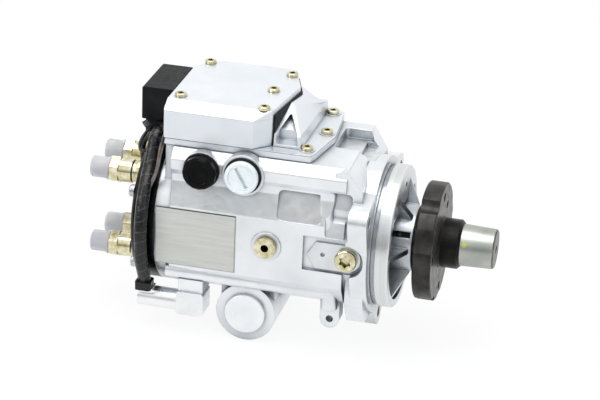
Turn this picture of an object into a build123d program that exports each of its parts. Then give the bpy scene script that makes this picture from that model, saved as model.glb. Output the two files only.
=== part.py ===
from build123d import *
from math import acos, asin, atan2, cos, degrees, pi, radians, sin, sqrt, tan
import os

# Distributor injection pump with radial plungers, an electronic control unit on top and a
# hydraulic timing device below.  X runs along the drive shaft towards the drive end, Z is up,
# and the origin is the shaft axis in the middle of the mounting pilot.  Millimetres.

# ---- fits and clearances -------------------------------------------------------------------
RUN_FIT = 0.04          # radial clearance of a part that turns or slides in a bore
SEAT_FIT = 0.02         # radial clearance of a part that is pressed or screwed into a bore
MOVE_GAP = 0.3          # free gap between parts of different bodies

# ---- drive shaft and hub -------------------------------------------------------------------
SHAFT_R = 15.0
TAPER_END_R = 14.2      # small end of the shaft's tapered nose
SHAFT_END_X = 75.0
CENTRE_HOLE_R = 3.0
CENTRE_HOLE_DEPTH = 12.0
HUB_R = 42.2
HUB_REAR_X = 23.0
HUB_THICK = 13.2
HUB_BOSS_R = 17.6
HUB_BOSS_LEN = 15.0
HUB_HOLE_R = 3.3
HUB_HOLE_PCD_R = 34.0
HUB_HOLE_COUNT = 4
HUB_DOWEL_R = 3.0
HUB_DOWEL_PCD_R = 27.0
HUB_DOWEL_DEG = 58.0
HUB_NOTCH_DEPTH = 2.2
HUB_STEP_R = 7.0
HUB_STEP_DEPTH = 3.6
KEY_WIDTH = 5.0
KEY_HEIGHT = 5.0
KEY_LEN = 11.0
HUB_KEY_X = HUB_REAR_X + HUB_THICK / 2

# ---- mounting flange, pilot and nose -------------------------------------------------------
PILOT_R = 51.0
PILOT_FRONT_X = 8.0
FACE_X = -6.0           # plane of the mounting face on the ears
GROOVE_X = -4.8         # rear edge of the seal groove in the pilot
GROOVE_WIDTH = 3.2
GROOVE_DEPTH = 2.4
FLANGE_R = 56.0
FLANGE_THICK = 12.0
EAR_HOLE_R = 4.25
EAR_PCD_R = 61.5
EAR_R = 9.5
EAR_THICK = 15.0
EAR_DEG = (30.0, 150.0, 270.0)
EAR_SPREAD = 24.0
RECESS_R = 45.0         # ring-shaped pocket in the front face
RECESS_DEPTH = 15.0
NOSE_R = 24.5
NOSE_FRONT_X = 19.5
POCKET_TOP_Z = 26.0     # above this the front face is solid
RIB_COUNT = 6
RIB_THICK = 4.0
WEEP_SLOT = (3.0, 17.0, 9.0, 13.0)       # x0, x1, z0, z1 of the drain window in the nose
GAUGE_HOLE = (3.0, 38.0, 2.8)           # y, z, radius of the blind hole in the front face

# ---- cast housing --------------------------------------------------------------------------
CAM_RING_R = 41.4
RING_GAP = 0.4          # free ring-shaped gap round the cam ring
CAM_BORE_R = CAM_RING_R + RING_GAP
PUMP_BORE_R = CAM_BORE_R - 1.5
REAR_X = -160.0         # joint face between housing and distributor head
REAR_FLANGE_THICK = 11.0
BODY_HALF_W = CAM_BORE_R + 4.2
PAD_Y = -(BODY_HALF_W + 4.0)            # near-side pad that carries the rating plate
BODY_BOTTOM_Z = -(CAM_BORE_R + 6.2)
BLOCK_HALF_W = BODY_HALF_W + 3.0
BLOCK_FRONT_X = -24.0
SHELF_Z = 49.6          # where the upper block starts to stand out
DECK_Z = 64.0           # top face that carries the base plate
DECK_HALF_W = 43.0
TROUGH = (-43.0, -22.0, -7.0, 31.0)     # x0, x1, y0, y1 of the low place in the front of the deck
TROUGH_Z = 57.0
HEAD_R = CAM_BORE_R + 11.2
CAM_CHAMBER_FRONT_X = -72.0
PUMP_CHAMBER_FRONT_X = -44.0

# ---- side relief, gussets and lugs of the casting ------------------------------------------
PANEL_A = (-72.0, -40.5, 22.0, 44.0)    # x0, x1, z0, z1 of the long relief panel
PANEL_B = (-37.5, -19.5, 14.0, 47.0)    # x0, x1, z0, z1 of the deep relief panel
PANEL_DEPTH = 3.4
PANEL_FOOT_Y = 3.6       # outward place of the lower edge of a panel floor
GUSSET_Y = -47.5
GUSSET_THICK = 3.5
LUG_X = -34.0
LUG_Y = (-37.0, -25.0)
LUG_Z = -54.2
LUG_R = 7.0
LUG_HOLE_R = 2.6
COLUMN_R = 6.0

# ---- bearing bush and seals ----------------------------------------------------------------
BUSH_WALL = 3.0
SEAL_R = 21.5
SEAL_THICK = 7.0
SEAL_GAP = 3.0
SEAL_REAR_X = NOSE_FRONT_X - 2 - 2 * SEAL_THICK - SEAL_GAP

# ---- vane supply pump ----------------------------------------------------------------------
PLATE_THICK = 4.0
LINER_ECC = 2.2
VANE_ROTOR_R = 24.0
VANE_COUNT = 4
VANE_THICK = 3.0
VANE_DEPTH = 6.5
PLATE_SCREW_R = 1.5
PLATE_SCREW_PCD_R = PUMP_BORE_R - 5.0
PLATE_SCREW_GRIP = 6.0
PUMP_MID_X = (CAM_CHAMBER_FRONT_X + PUMP_CHAMBER_FRONT_X) / 2
PLATE_GAP_HALF = (PUMP_CHAMBER_FRONT_X - CAM_CHAMBER_FRONT_X) / 2 - PLATE_THICK

# ---- cam ring, rollers and plungers --------------------------------------------------------
CAM_X = -93.4           # middle plane of the cam ring, plungers and timing pin
CAM_WIDTH = 20.0
CAM_VALLEY_R = CAM_RING_R - 10.4
CAM_LIFT = 3.0
LOBE_COUNT = 4
ADVANCE_DEG = 12.0
ROLLER_R = 5.0
ROLLER_LEN = 15.0
SHOE_HALF_W = 6.0
PLUNGER_R = 3.5
PLUNGER_INNER_R = 5.0
ROTOR_HEAD_R = 17.2
CUP_R = 27.0
CUP_WEB = 4.0
ROLLER_CENTRE = CAM_VALLEY_R - CAM_LIFT - MOVE_GAP - ROLLER_R
SHOE_INNER_R = ROTOR_HEAD_R + MOVE_GAP

# ---- angle sensor --------------------------------------------------------------------------
WHEEL_R = CAM_RING_R - 8.4
WHEEL_THICK = 2.5
WHEEL_TEETH = 36
TOOTH_DEPTH = 2.2
SENSOR_RING_THICK = 2.0
SENSOR_GAP = 0.6

# ---- distributor head ----------------------------------------------------------------------
HEAD_THICK = 17.0
HEAD_REAR_X = REAR_X - HEAD_THICK
SPIGOT_END_X = REAR_X + 50.0
SLEEVE_R = 15.0
ROTOR_R = 9.0
OUTLET_Y = 16.5
OUTLET_Z = 29.1
OUTLET_BORE_R = 8.5
OUTLET_DEPTH = 26.0
HEAD_SCREW_DEG = (42.0, 148.0, 222.0, 328.0)
HEAD_SCREW_PCD_R = HEAD_R - 5.6
HEAD_SCREW_R = 2.5
HEAD_SCREW_GRIP = 10.0
VALVE_BODY_R = 18.0
ROTOR_REAR_X = HEAD_REAR_X + 15.0
NEEDLE_R = 2.5
NEEDLE_LIFT = 0.4

# ---- delivery-valve holders ----------------------------------------------------------------
HOLDER_HEX_AF = 17.0
HOLDER_HEX_LEN = 6.5
HOLDER_NECK_LEN = 18.5
NIPPLE_R = 6.0
NIPPLE_LEN = 13.0
HOLDER_BORE_R = 4.3
HOLDER_BORE_DEPTH = 28.0
VALVE_SHOULDER = 9.0
PASSAGE_R = 1.5
DELIVERY_LIFT = 1.2
CAP_WALL = 1.6

# ---- timing device -------------------------------------------------------------------------
PIN_REACH = CAM_RING_R + 14.0
TIMER_Z = -PIN_REACH
TIMER_BOSS_R = 21.5
TIMER_HALF_W = 44.0
PISTON_R = 11.0
PISTON_LEN = 44.0
PIN_BALL_R = 5.5
PIN_SHANK_R = 3.5
PIN_SEAT = 6.0
PISTON_REST_Y = -PIN_REACH * sin(radians(ADVANCE_DEG / 2))
PLUG_R = 14.5
PLUG_THICK = 3.0
PLUG_NECK_LEN = 9.0
SPRING_R = 6.0
SPRING_POCKET = 9.0

# ---- control unit --------------------------------------------------------------------------
UNIT_REAR_X = -157.0
UNIT_NEAR_Y = -42.0
UNIT_FAR_Y = 51.0
BASE_THICK = 5.0
BASE_TOP_Z = DECK_Z + BASE_THICK
BASE_FRONT_X = -44.0
COVER_TOP_Z = 95.0
COVER_THICK = 6.0
COVER_Z = COVER_TOP_Z - COVER_THICK
TRAY_WALL = 3.0
BOARD_THICK = 1.6
BASE_SCREW_GRIP = 8.0
GASKET_THICK = 1.5
HOOD_TOP_Z = 90.0
HOOD_UPRIGHT = 9.0
HOOD_POCKET_DEPTH = 11.0
COVER_SCREWS = ((-149.6, -25.1), (-148.0, 44.0), (-85.9, 39.0), (-88.5, -30.0), (-90.8, 5.3))
BASE_SCREWS = ((-57.0, -30.0), (-51.0, 4.0), (-55.5, 42.0))
SCREW_HEAD_R = 4.2
SCREW_HEAD_H = 2.4
SCREW_R = 2.5
UNIT_OUTLINE = (
    (UNIT_REAR_X, UNIT_NEAR_Y), (-93.0, UNIT_NEAR_Y), (-82.0, -31.0), (-75.0, 20.0),
    (-85.5, UNIT_FAR_Y), (-140.0, UNIT_FAR_Y), (-151.0, 43.0), (UNIT_REAR_X, 30.0),
)

# ---- connector, harness and timing solenoid ------------------------------------------------
PLUG_REAR_X = -181.0
PLUG_BOTTOM_Z = 70.5
PLUG_TOP_Z = 94.5
PLUG_Y = (-16.0, 32.0)
PLUG_WALL = 2.6
PLUG_CAVITY = 14.0
PIN_COUNT = 9
NECK_BOTTOM_Z = 60.5
HARNESS_R = 4.6
HARNESS_X = -167.5
HARNESS_BEND_R = HEAD_R + 7.0
HARNESS_ANGLES = (126, 150, 175, 200)
HARNESS_EXIT_Z = NECK_BOTTOM_Z + 5.5
LEAD_R = 2.2
LEAD_X = HARNESS_X - 7.3
LEAD_Y = -4.0
LEAD_TOP_Z = 69.0
LEAD_CAP_Z = 9.0
LEAD_CAP_DEPTH = 9.0
COIL_R = 7.6
COIL_REAR_X = -172.0
COIL_FRONT_X = -142.0
COIL_Y = -42.0
SOLENOID_SEAT_Z = BODY_BOTTOM_Z + 4.5
COIL_Z = SOLENOID_SEAT_Z - 10.5
COIL_PLUG_Y = COIL_Y - 5
COIL_PLUG_TOP_Z = COIL_Z + COIL_R + 0.5
BOOT_HEIGHT = 6.0

# ---- ports, plugs and locking screw --------------------------------------------------------
PORT_BORE_R = 8.0
PORT_DEPTH = 12.0
PORT_FACE_Y = PAD_Y
PORT_PITCH = 29.8
INLET_X = -97.0
INLET_Z = 52.0
INLET_BOSS_R = 15.0
INLET_PLUG_R = 11.6
REGULATOR_X = INLET_X - PORT_PITCH
REGULATOR_Z = 51.6
REGULATOR_CAP_R = 11.2
RETURN_X = -78.6
RETURN_Z = 1.6
RETURN_BORE_R = 2.8
RETURN_HEAD_R = 7.5
RETURN_BOSS_R = 10.5
LOCK_X = -21.5
LOCK_Z = -0.5
LOCK_HEAD_R = 8.0
LOCK_SHANK_R = 4.0
LOCK_PAD_Y = PAD_Y + 2.5
LOCK_TIP_Y = -SHAFT_R - BUSH_WALL - MOVE_GAP
LOCK_PLATE_THICK = 1.6
LOCK_CUT_R = 13.0
TUBE_R = 6.5
TUBE_ENDS = ((-152.0, -43.5, -29.5), (-32.0, -39.0, -31.5))
TUBE_BORE_DEPTH = 6.0
PLATE_X = (-159.0, -101.0)
PLATE_Z = (-22.5, 20.5)
PLATE_T = 0.5

# ---- shared geometry -----------------------------------------------------------------------
def cyl_x(r, x0, x1, y=0, z=0):
    """Cylinder along X."""
    return Pos((x0 + x1) / 2, y, z) * Rot(0, 90, 0) * Cylinder(r, abs(x1 - x0))


def cyl_y(r, y0, y1, x=0, z=0):
    """Cylinder along Y."""
    return Pos(x, (y0 + y1) / 2, z) * Rot(90, 0, 0) * Cylinder(r, abs(y1 - y0))


def cyl_z(r, z0, z1, x=0, y=0):
    """Cylinder along Z."""
    return Pos(x, y, (z0 + z1) / 2) * Cylinder(r, abs(z1 - z0))


def block(x0, x1, y0, y1, z0, z1):
    """Box between two corners."""
    size = (abs(x1 - x0), abs(y1 - y0), abs(z1 - z0))
    return Pos((x0 + x1) / 2, (y0 + y1) / 2, (z0 + z1) / 2) * Box(*size)


def turned(points):
    """Solid of revolution about X from (x, radius) points."""
    return revolve(Plane.XZ * make_face(Polyline(*points, close=True)), Axis.X, 360)


def tube_x(r_out, r_in, x0, x1):
    """Ring about the shaft axis."""
    return cyl_x(r_out, x0, x1) - cyl_x(r_in, x0, x1)


def along_x(sketch, x0, x1):
    """Sketch in (Y, Z), extruded along X."""
    return extrude(Plane(origin=(x0, 0, 0), x_dir=(0, 1, 0), z_dir=(1, 0, 0)) * sketch, x1 - x0)


def rounded(points, radius):
    """Closed outline with every corner rounded."""
    face = make_face(Polyline(*points, close=True))
    return fillet(face.vertices(), radius)


def flat(points, z0, z1, radius):
    """Rounded outline in plan, extruded upward."""
    return extrude(Pos(0, 0, z0) * rounded(points, radius), z1 - z0)


def polar(radius, angle):
    """(y, z) at a distance and an angle from the shaft axis."""
    return radius * cos(radians(angle)), radius * sin(radians(angle))


def torx_screw(head_r, head_h, shank_r, shank_len):
    """Pan-head screw along Z, under-head face at z = 0."""
    head = Cylinder(head_r, head_h, align=(Align.CENTER, Align.CENTER, Align.MIN))
    head = fillet(head.edges().group_by(Axis.Z)[-1], head_h * 0.35)
    tips = [polar(head_r * (0.58 if k % 2 else 0.42), 30 * k) for k in range(12)]
    star = make_face(Polyline(*tips, close=True))
    recess = extrude(Pos(0, 0, head_h * 0.45) * star, head_h)
    shank = Cylinder(shank_r, shank_len, align=(Align.CENTER, Align.CENTER, Align.MAX))
    return head - recess + shank


def coil_spring(radius, wire_r, length, turns):
    """Compression spring along Z from z = 0."""
    path = Helix(pitch=(length - 2 * wire_r) / turns, height=length - 2 * wire_r, radius=radius)
    start = Plane(origin=path @ 0, z_dir=path % 0)
    return Pos(0, 0, wire_r) * sweep(start * Circle(wire_r), path)


def save(name, shape):
    export_step(shape, f"parts/{name}.step")


# ---- housing -------------------------------------------------------------------------------
def housing_body():
    """Outer form of the casting between the rear joint face and the flange."""
    w, pad = BODY_HALF_W, abs(PAD_Y)
    low = BODY_BOTTOM_Z
    outline = [
        (-DECK_HALF_W, DECK_Z), (-BLOCK_HALF_W, DECK_Z - 7), (-BLOCK_HALF_W, SHELF_Z),
        (-w, SHELF_Z - 4.5), (-w, 40), (-pad, 22), (-pad, -24), (-w + 6, low + 10),
        (-w + 24, low), (w - 24, low), (w - 6, low + 10), (pad, -20), (pad, 22), (w, 27),
        (w, SHELF_Z - 4.5), (BLOCK_HALF_W, SHELF_Z), (BLOCK_HALF_W, DECK_Z - 7),
        (DECK_HALF_W, DECK_Z),
    ]
    body = along_x(rounded(outline, 1.6), REAR_X + REAR_FLANGE_THICK, BLOCK_FRONT_X)
    rear = cyl_x(HEAD_R, REAR_X, REAR_X + REAR_FLANGE_THICK)
    rear += block(REAR_X + 4, REAR_X + REAR_FLANGE_THICK + 1, -38, 38, 20, DECK_Z)
    rear &= block(REAR_X - 1, BLOCK_FRONT_X, PAD_Y, HEAD_R, -HEAD_R, DECK_Z)
    front = cyl_x(-BODY_BOTTOM_Z + 2, BLOCK_FRONT_X - 6, FACE_X - FLANGE_THICK)
    front += loft([
        front_section(BLOCK_FRONT_X, 2 * BLOCK_HALF_W - 6, 42, 41),
        front_section(FACE_X - FLANGE_THICK + 4, 2 * BLOCK_HALF_W - 14, 34, 30),
    ])
    return body + rear + front


def front_section(x, width, mid_z, height):
    """Rounded rectangle across the shaft axis, for the taper down to the flange."""
    plane = Plane(origin=(x, 0, mid_z), x_dir=(0, 1, 0), z_dir=(1, 0, 0))
    return plane * RectangleRounded(width, height, 3.0)


def side_relief():
    """Sunk panels between the ribs of the near side; their floors run out at the lower edge."""
    panels = sunk_panel(PANEL_A, 4.0)
    x0, x1, z0, z1 = PANEL_B
    panels += sunk_panel(PANEL_B, 3.0)
    return panels - cyl_z(COLUMN_R, z0, z1, x0, PANEL_DEPTH - BODY_HALF_W)


def sunk_panel(edges, corner_r):
    x0, x1, z0, z1 = edges
    height = z1 - z0
    face = rounded([(x0, 0), (x1, 0), (x1, height), (x0, height)], corner_r)
    tilt = degrees(atan2(PANEL_DEPTH + PANEL_FOOT_Y, height))
    prism = Rot(-tilt, 0, 0) * extrude(Plane.XZ * face, 25)
    return Pos(0, -BODY_HALF_W - PANEL_FOOT_Y, z0) * prism


def front_deck():
    """Low terrace in the front of the deck with a rounded boss standing in it."""
    x0, x1, y0, y1 = TROUGH
    trough = flat([(x0, y0), (x1, y0), (x1, y1), (x0, y1)], TROUGH_Z, DECK_Z + 5, 3.0)
    trough += flat([(x1 - 4, y0 + 4), (x1 + 8, y0 + 4), (x1 + 8, y1 - 4), (x1 - 4, y1 - 4)],
                   TROUGH_Z - 3, DECK_Z + 5, 1.5)
    return trough - cyl_z(5.0, TROUGH_Z - 1, DECK_Z - 3, x0 + 7, y0 + 1)


def gusset():
    """Triangular web from the deck down to the flange on the near side."""
    face = make_face(Polyline(
        (BLOCK_FRONT_X - 8, DECK_Z - 2), (BLOCK_FRONT_X - 1, DECK_Z + 1),
        (FACE_X - FLANGE_THICK + 5, 50.8), (FACE_X - FLANGE_THICK + 5, 30),
        (BLOCK_FRONT_X - 8, 30), close=True,
    ))
    return Pos(0, GUSSET_Y + GUSSET_THICK, 0) * extrude(Plane.XZ * face, GUSSET_THICK)


def support_lug():
    """Lug with a cross hole under the front of the housing, and the column above it."""
    y0, y1 = LUG_Y
    lug = cyl_y(LUG_R, y0, y1, LUG_X, LUG_Z)
    lug += block(LUG_X - LUG_R, LUG_X + LUG_R, y0, y1, LUG_Z, BODY_BOTTOM_Z + 10)
    column = cyl_z(COLUMN_R, BODY_BOTTOM_Z + 4, LOCK_Z - 16, LUG_X, y0 - 3)
    foot = rounded([(-47, -14), (-47, -36), (-36, -54), (-16, -56), (-16, -14)], 2.5)
    foot = along_x(foot, FACE_X - FLANGE_THICK - 4, FACE_X - 3)
    return lug + column + foot


def ear_outline(angle, radius):
    """Ear circle joined to the flange by straight shoulders, drawn in (Y, Z)."""
    y, z = polar(EAR_PCD_R, angle)
    low, high = [polar(radius, angle + k) for k in (-50, 50)]
    web = make_face(Polyline(
        polar(FLANGE_R - 0.5, angle - EAR_SPREAD), (y + low[0], z + low[1]),
        (y + high[0], z + high[1]), polar(FLANGE_R - 0.5, angle + EAR_SPREAD), (0, 0), close=True,
    ))
    return web + Pos(y, z) * Circle(radius)


def mounting_flange():
    """Flange with three thick ears and the pilot."""
    flange = cyl_x(FLANGE_R, FACE_X - FLANGE_THICK, FACE_X)
    for angle in EAR_DEG:
        flange += along_x(ear_outline(angle, EAR_R), FACE_X - EAR_THICK, FACE_X)
    pilot = turned([
        (FACE_X, 0), (FACE_X, PILOT_R), (PILOT_FRONT_X - 1, PILOT_R),
        (PILOT_FRONT_X, PILOT_R - 1), (PILOT_FRONT_X, 0),
    ])
    return flange + pilot


def nose():
    """Bearing nose inside the ring-shaped front pocket, tied to the pilot by ribs."""
    floor_x = PILOT_FRONT_X - RECESS_DEPTH
    boss = turned([
        (floor_x - 1, 0), (floor_x - 1, NOSE_R + 4), (floor_x + 4, NOSE_R),
        (NOSE_FRONT_X - 1, NOSE_R - 1), (NOSE_FRONT_X, NOSE_R - 2), (NOSE_FRONT_X, 0),
    ])
    rib_outline = make_face(Polyline(
        (floor_x - 1, NOSE_R - 3), (floor_x - 1, RECESS_R + 1), (PILOT_FRONT_X - 2, RECESS_R + 1),
        (NOSE_FRONT_X - 3, NOSE_R), (NOSE_FRONT_X - 3, NOSE_R - 3), close=True,
    ))
    rib = Pos(0, RIB_THICK / 2, 0) * extrude(Plane.XZ * rib_outline, RIB_THICK)
    for k in range(RIB_COUNT):
        boss += Rot(k * 360 / RIB_COUNT + 30, 0, 0) * rib
    return boss


def timer_boss():
    """Cross-bored boss of the timing device under the housing."""
    boss = cyl_y(TIMER_BOSS_R, -TIMER_HALF_W, TIMER_HALF_W, CAM_X, TIMER_Z)
    half = TIMER_BOSS_R - 2
    web = block(CAM_X - half, CAM_X + half, -TIMER_HALF_W + 6, TIMER_HALF_W - 6, TIMER_Z, -35)
    return boss + web


def front_pocket():
    """Ring-shaped pocket round the nose, open below the solid top of the front face."""
    floor_x = PILOT_FRONT_X - RECESS_DEPTH
    pocket = cyl_x(RECESS_R, floor_x, PILOT_FRONT_X + 1)
    return pocket - block(floor_x - 1, PILOT_FRONT_X + 2, -60, 60, POCKET_TOP_Z, 60)


def pump_housing():
    body = housing_body() + mounting_flange() + timer_boss() + port_bosses()
    body += gusset() + support_lug()
    body -= side_relief() + front_deck() + front_pocket()
    body += nose()
    body -= tube_x(PILOT_R + 1, PILOT_R - GROOVE_DEPTH, GROOVE_X, GROOVE_X + GROOVE_WIDTH)
    body -= cyl_x(CAM_BORE_R, REAR_X - 1, CAM_CHAMBER_FRONT_X)
    body -= cyl_x(PUMP_BORE_R, CAM_CHAMBER_FRONT_X - 1, PUMP_CHAMBER_FRONT_X)
    body -= cyl_x(SHAFT_R + BUSH_WALL, PUMP_CHAMBER_FRONT_X - 1, NOSE_FRONT_X)
    body -= cyl_x(SEAL_R, SEAL_REAR_X, NOSE_FRONT_X + 1)
    x0, x1, z0, z1 = WEEP_SLOT
    body -= block(x0, x1, -NOSE_R - 6, -SEAL_R + 5, z0, z1)
    y, z, hole_r = GAUGE_HOLE
    body -= cyl_x(hole_r, PILOT_FRONT_X - 8, PILOT_FRONT_X + 1, y, z)
    for angle in EAR_DEG:
        y, z = polar(EAR_PCD_R, angle)
        body -= cyl_x(EAR_HOLE_R, FACE_X - EAR_THICK - 12, FACE_X + 1, y, z)
        body -= cyl_x(EAR_R - 1, FACE_X - EAR_THICK - 12, FACE_X - EAR_THICK, y, z)
    body -= cyl_y(PISTON_R + RUN_FIT, -TIMER_HALF_W - 1, TIMER_HALF_W + 1, CAM_X, TIMER_Z)
    body -= timing_slot()
    body -= port_cuts()
    body -= plate_screw_holes(SEAT_FIT, PUMP_CHAMBER_FRONT_X + PLATE_SCREW_GRIP + 1)
    body -= cyl_y(LUG_HOLE_R, LUG_Y[0] - 1, LUG_Y[1] + 1, LUG_X, LUG_Z)
    for angle in HEAD_SCREW_DEG:
        y, z = polar(HEAD_SCREW_PCD_R, angle)
        body -= cyl_x(HEAD_SCREW_R + SEAT_FIT, REAR_X - 1, REAR_X + HEAD_SCREW_GRIP, y, z)
    return body


def timing_slot():
    """Slot between cam chamber and timing bore in which the ball pin swings."""
    swing = (PIN_REACH * sin(radians(ADVANCE_DEG / 2))) + PIN_BALL_R + 1
    half = PIN_BALL_R + 1
    return block(CAM_X - half, CAM_X + half, -swing, swing, TIMER_Z, -CAM_RING_R + 3)


# ---- shaft group ---------------------------------------------------------------------------
def drive_shaft():
    cup_rear_x = CAM_X - CAM_WIDTH / 2
    cup_floor_x = CAM_X + CAM_WIDTH / 2
    web_front_x = cup_floor_x + CUP_WEB
    hub_front_x = HUB_REAR_X + HUB_THICK + HUB_BOSS_LEN
    shaft = turned([
        (cup_rear_x, ROTOR_HEAD_R + MOVE_GAP), (cup_rear_x, CUP_R), (web_front_x, CUP_R),
        (web_front_x + 2, SHAFT_R + 3), (web_front_x + 2, SHAFT_R), (hub_front_x, SHAFT_R),
        (SHAFT_END_X - 1, TAPER_END_R), (SHAFT_END_X, TAPER_END_R - 1), (SHAFT_END_X, 0),
        (cup_floor_x, 0), (cup_floor_x, ROTOR_HEAD_R + MOVE_GAP),
    ])
    shaft -= cyl_x(CENTRE_HOLE_R, SHAFT_END_X - CENTRE_HOLE_DEPTH, SHAFT_END_X + 1)
    slot_half = SHOE_HALF_W + RUN_FIT
    for side in (-1, 1):
        shaft -= block(cup_rear_x - 1, cup_floor_x, side * ROTOR_HEAD_R * 0.9,
                       side * (CUP_R + 1), -slot_half, slot_half)
    shaft -= key_slot(HUB_KEY_X)
    shaft -= key_slot(PUMP_MID_X)
    tongue = block(cup_floor_x - 1, cup_floor_x + CUP_WEB - 1, -8, 8, -3, 3)
    return shaft - tongue


def key_slot(x):
    return block(x - KEY_LEN / 2, x + KEY_LEN / 2, -KEY_WIDTH / 2, KEY_WIDTH / 2,
                 SHAFT_R - KEY_HEIGHT / 2, SHAFT_R + KEY_HEIGHT)


def key(x):
    return block(x - KEY_LEN / 2, x + KEY_LEN / 2, -KEY_WIDTH / 2, KEY_WIDTH / 2,
                 SHAFT_R - KEY_HEIGHT / 2, SHAFT_R + KEY_HEIGHT / 2)


def keyway(x0, x1):
    return block(x0, x1, -KEY_WIDTH / 2, KEY_WIDTH / 2, 0, SHAFT_R + KEY_HEIGHT / 2)


def drive_hub():
    """Drive disc with a boss, bolt holes and shallow scallops in its rim."""
    face_x = HUB_REAR_X + HUB_THICK
    hub = turned([
        (HUB_REAR_X, 0), (HUB_REAR_X, HUB_R - 1), (HUB_REAR_X + 1, HUB_R),
        (face_x - 1, HUB_R), (face_x, HUB_R - 1), (face_x, HUB_BOSS_R + 1.5),
        (face_x + 1.5, HUB_BOSS_R), (face_x + HUB_BOSS_LEN - 2, HUB_BOSS_R),
        (face_x + HUB_BOSS_LEN, HUB_BOSS_R - 2), (face_x + HUB_BOSS_LEN, 0),
    ])
    cutter_r = HUB_R * 0.6
    for angle in (158, 22, 270):
        y, z = polar(HUB_R - HUB_NOTCH_DEPTH + cutter_r, angle)
        hub -= cyl_x(cutter_r, HUB_REAR_X - 1, face_x + 1, y, z)
    for angle in (2, 122, 242):
        y, z = polar(HUB_R + HUB_STEP_R - HUB_STEP_DEPTH, angle)
        hub -= cyl_x(HUB_STEP_R, HUB_REAR_X - 1, face_x + 1, y, z)
    for k in range(HUB_HOLE_COUNT):
        y, z = polar(HUB_HOLE_PCD_R, 90 + k * 360 / HUB_HOLE_COUNT)
        hub -= cyl_x(HUB_HOLE_R, HUB_REAR_X - 1, face_x + 1, y, z)
    y, z = polar(HUB_DOWEL_PCD_R, HUB_DOWEL_DEG)
    hub -= cyl_x(HUB_DOWEL_R, HUB_REAR_X - 1, face_x + 1, y, z)
    hub -= cyl_x(SHAFT_R + SEAT_FIT, HUB_REAR_X - 1, face_x + HUB_BOSS_LEN + 1)
    return hub - keyway(HUB_REAR_X - 1, HUB_KEY_X + KEY_LEN / 2)


def vane_rotor():
    half = PLATE_GAP_HALF - RUN_FIT
    rotor = cyl_x(VANE_ROTOR_R, PUMP_MID_X - half, PUMP_MID_X + half)
    rotor -= cyl_x(SHAFT_R + SEAT_FIT, PUMP_MID_X - half - 1, PUMP_MID_X + half + 1)
    rotor -= keyway(PUMP_MID_X - half - 1, PUMP_MID_X + half + 1)
    for k in range(VANE_COUNT):
        slot = block(PUMP_MID_X - half - 1, PUMP_MID_X + half + 1, VANE_ROTOR_R - VANE_DEPTH,
                     VANE_ROTOR_R + 1, -VANE_THICK / 2 - RUN_FIT, VANE_THICK / 2 + RUN_FIT)
        rotor -= Rot(45 + k * 360 / VANE_COUNT, 0, 0) * slot
    return rotor


def vanes():
    half = PLATE_GAP_HALF - RUN_FIT
    solids = []
    for k in range(VANE_COUNT):
        vane = block(PUMP_MID_X - half, PUMP_MID_X + half, VANE_ROTOR_R - VANE_DEPTH + 0.2,
                     VANE_ROTOR_R + MOVE_GAP, -VANE_THICK / 2, VANE_THICK / 2)
        solids.append(Rot(45 + k * 360 / VANE_COUNT, 0, 0) * vane)
    return Compound(children=solids)


def pump_liner_ring():
    half = PLATE_GAP_HALF
    ring = cyl_x(PUMP_BORE_R - SEAT_FIT, PUMP_MID_X - half, PUMP_MID_X + half)
    inner_r = VANE_ROTOR_R + 2 * MOVE_GAP + LINER_ECC
    ring -= cyl_x(inner_r, PUMP_MID_X - half - 1, PUMP_MID_X + half + 1, 0, -LINER_ECC)
    return ring - plate_screw_holes(0.2, PUMP_CHAMBER_FRONT_X)


def side_plate(x0):
    plate = tube_x(PUMP_BORE_R - SEAT_FIT, SHAFT_R + MOVE_GAP, x0, x0 + PLATE_THICK)
    kidney = cyl_x(3.0, x0 - 1, x0 + PLATE_THICK + 1, *polar(VANE_ROTOR_R - 1, 0))
    kidney += cyl_x(3.0, x0 - 1, x0 + PLATE_THICK + 1, *polar(VANE_ROTOR_R - 1, 180))
    return plate - kidney - plate_screw_holes(0.2, PUMP_CHAMBER_FRONT_X + 1)


def increment_wheel():
    """Toothed wheel with one wide gap for each cylinder."""
    x0 = CAM_X + CAM_WIDTH / 2 + CUP_WEB + 3.2
    wheel = tube_x(WHEEL_R, SHAFT_R + SEAT_FIT, x0, x0 + WHEEL_THICK)
    pitch = 360 / WHEEL_TEETH
    cut = block(x0 - 1, x0 + WHEEL_THICK + 1, WHEEL_R - TOOTH_DEPTH, WHEEL_R + 1, -1.4, 1.4)
    cuts = [Rot(k * pitch, 0, 0) * cut for k in range(WHEEL_TEETH)]
    return wheel - Compound(children=cuts)


# ---- cam ring group ------------------------------------------------------------------------
def cam_radius(angle):
    """Inner radius of the cam ring at an angle from a valley."""
    return CAM_VALLEY_R - CAM_LIFT / 2 * (1 - cos(radians(LOBE_COUNT * angle)))


def cam_ring():
    half = CAM_WIDTH / 2
    steps = 16 * LOBE_COUNT
    points = [polar(cam_radius(k * 360 / steps), k * 360 / steps) for k in range(steps)]
    bore = make_face(Spline(*points, periodic=True))
    ring = cyl_x(CAM_RING_R, CAM_X - half, CAM_X + half)
    ring -= along_x(bore, CAM_X - half - 1, CAM_X + half + 1)
    ring -= cyl_z(PIN_SHANK_R + SEAT_FIT, -CAM_RING_R - 1, -CAM_RING_R + PIN_SEAT, CAM_X, 0)
    return Rot(-ADVANCE_DEG / 2, 0, 0) * ring


def timing_ball_pin():
    shank = cyl_z(PIN_SHANK_R, -PIN_REACH, -CAM_RING_R + PIN_SEAT, CAM_X, 0)
    ball = Pos(CAM_X, 0, -PIN_REACH) * Sphere(PIN_BALL_R)
    return Rot(-ADVANCE_DEG / 2, 0, 0) * (shank + ball)


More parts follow.
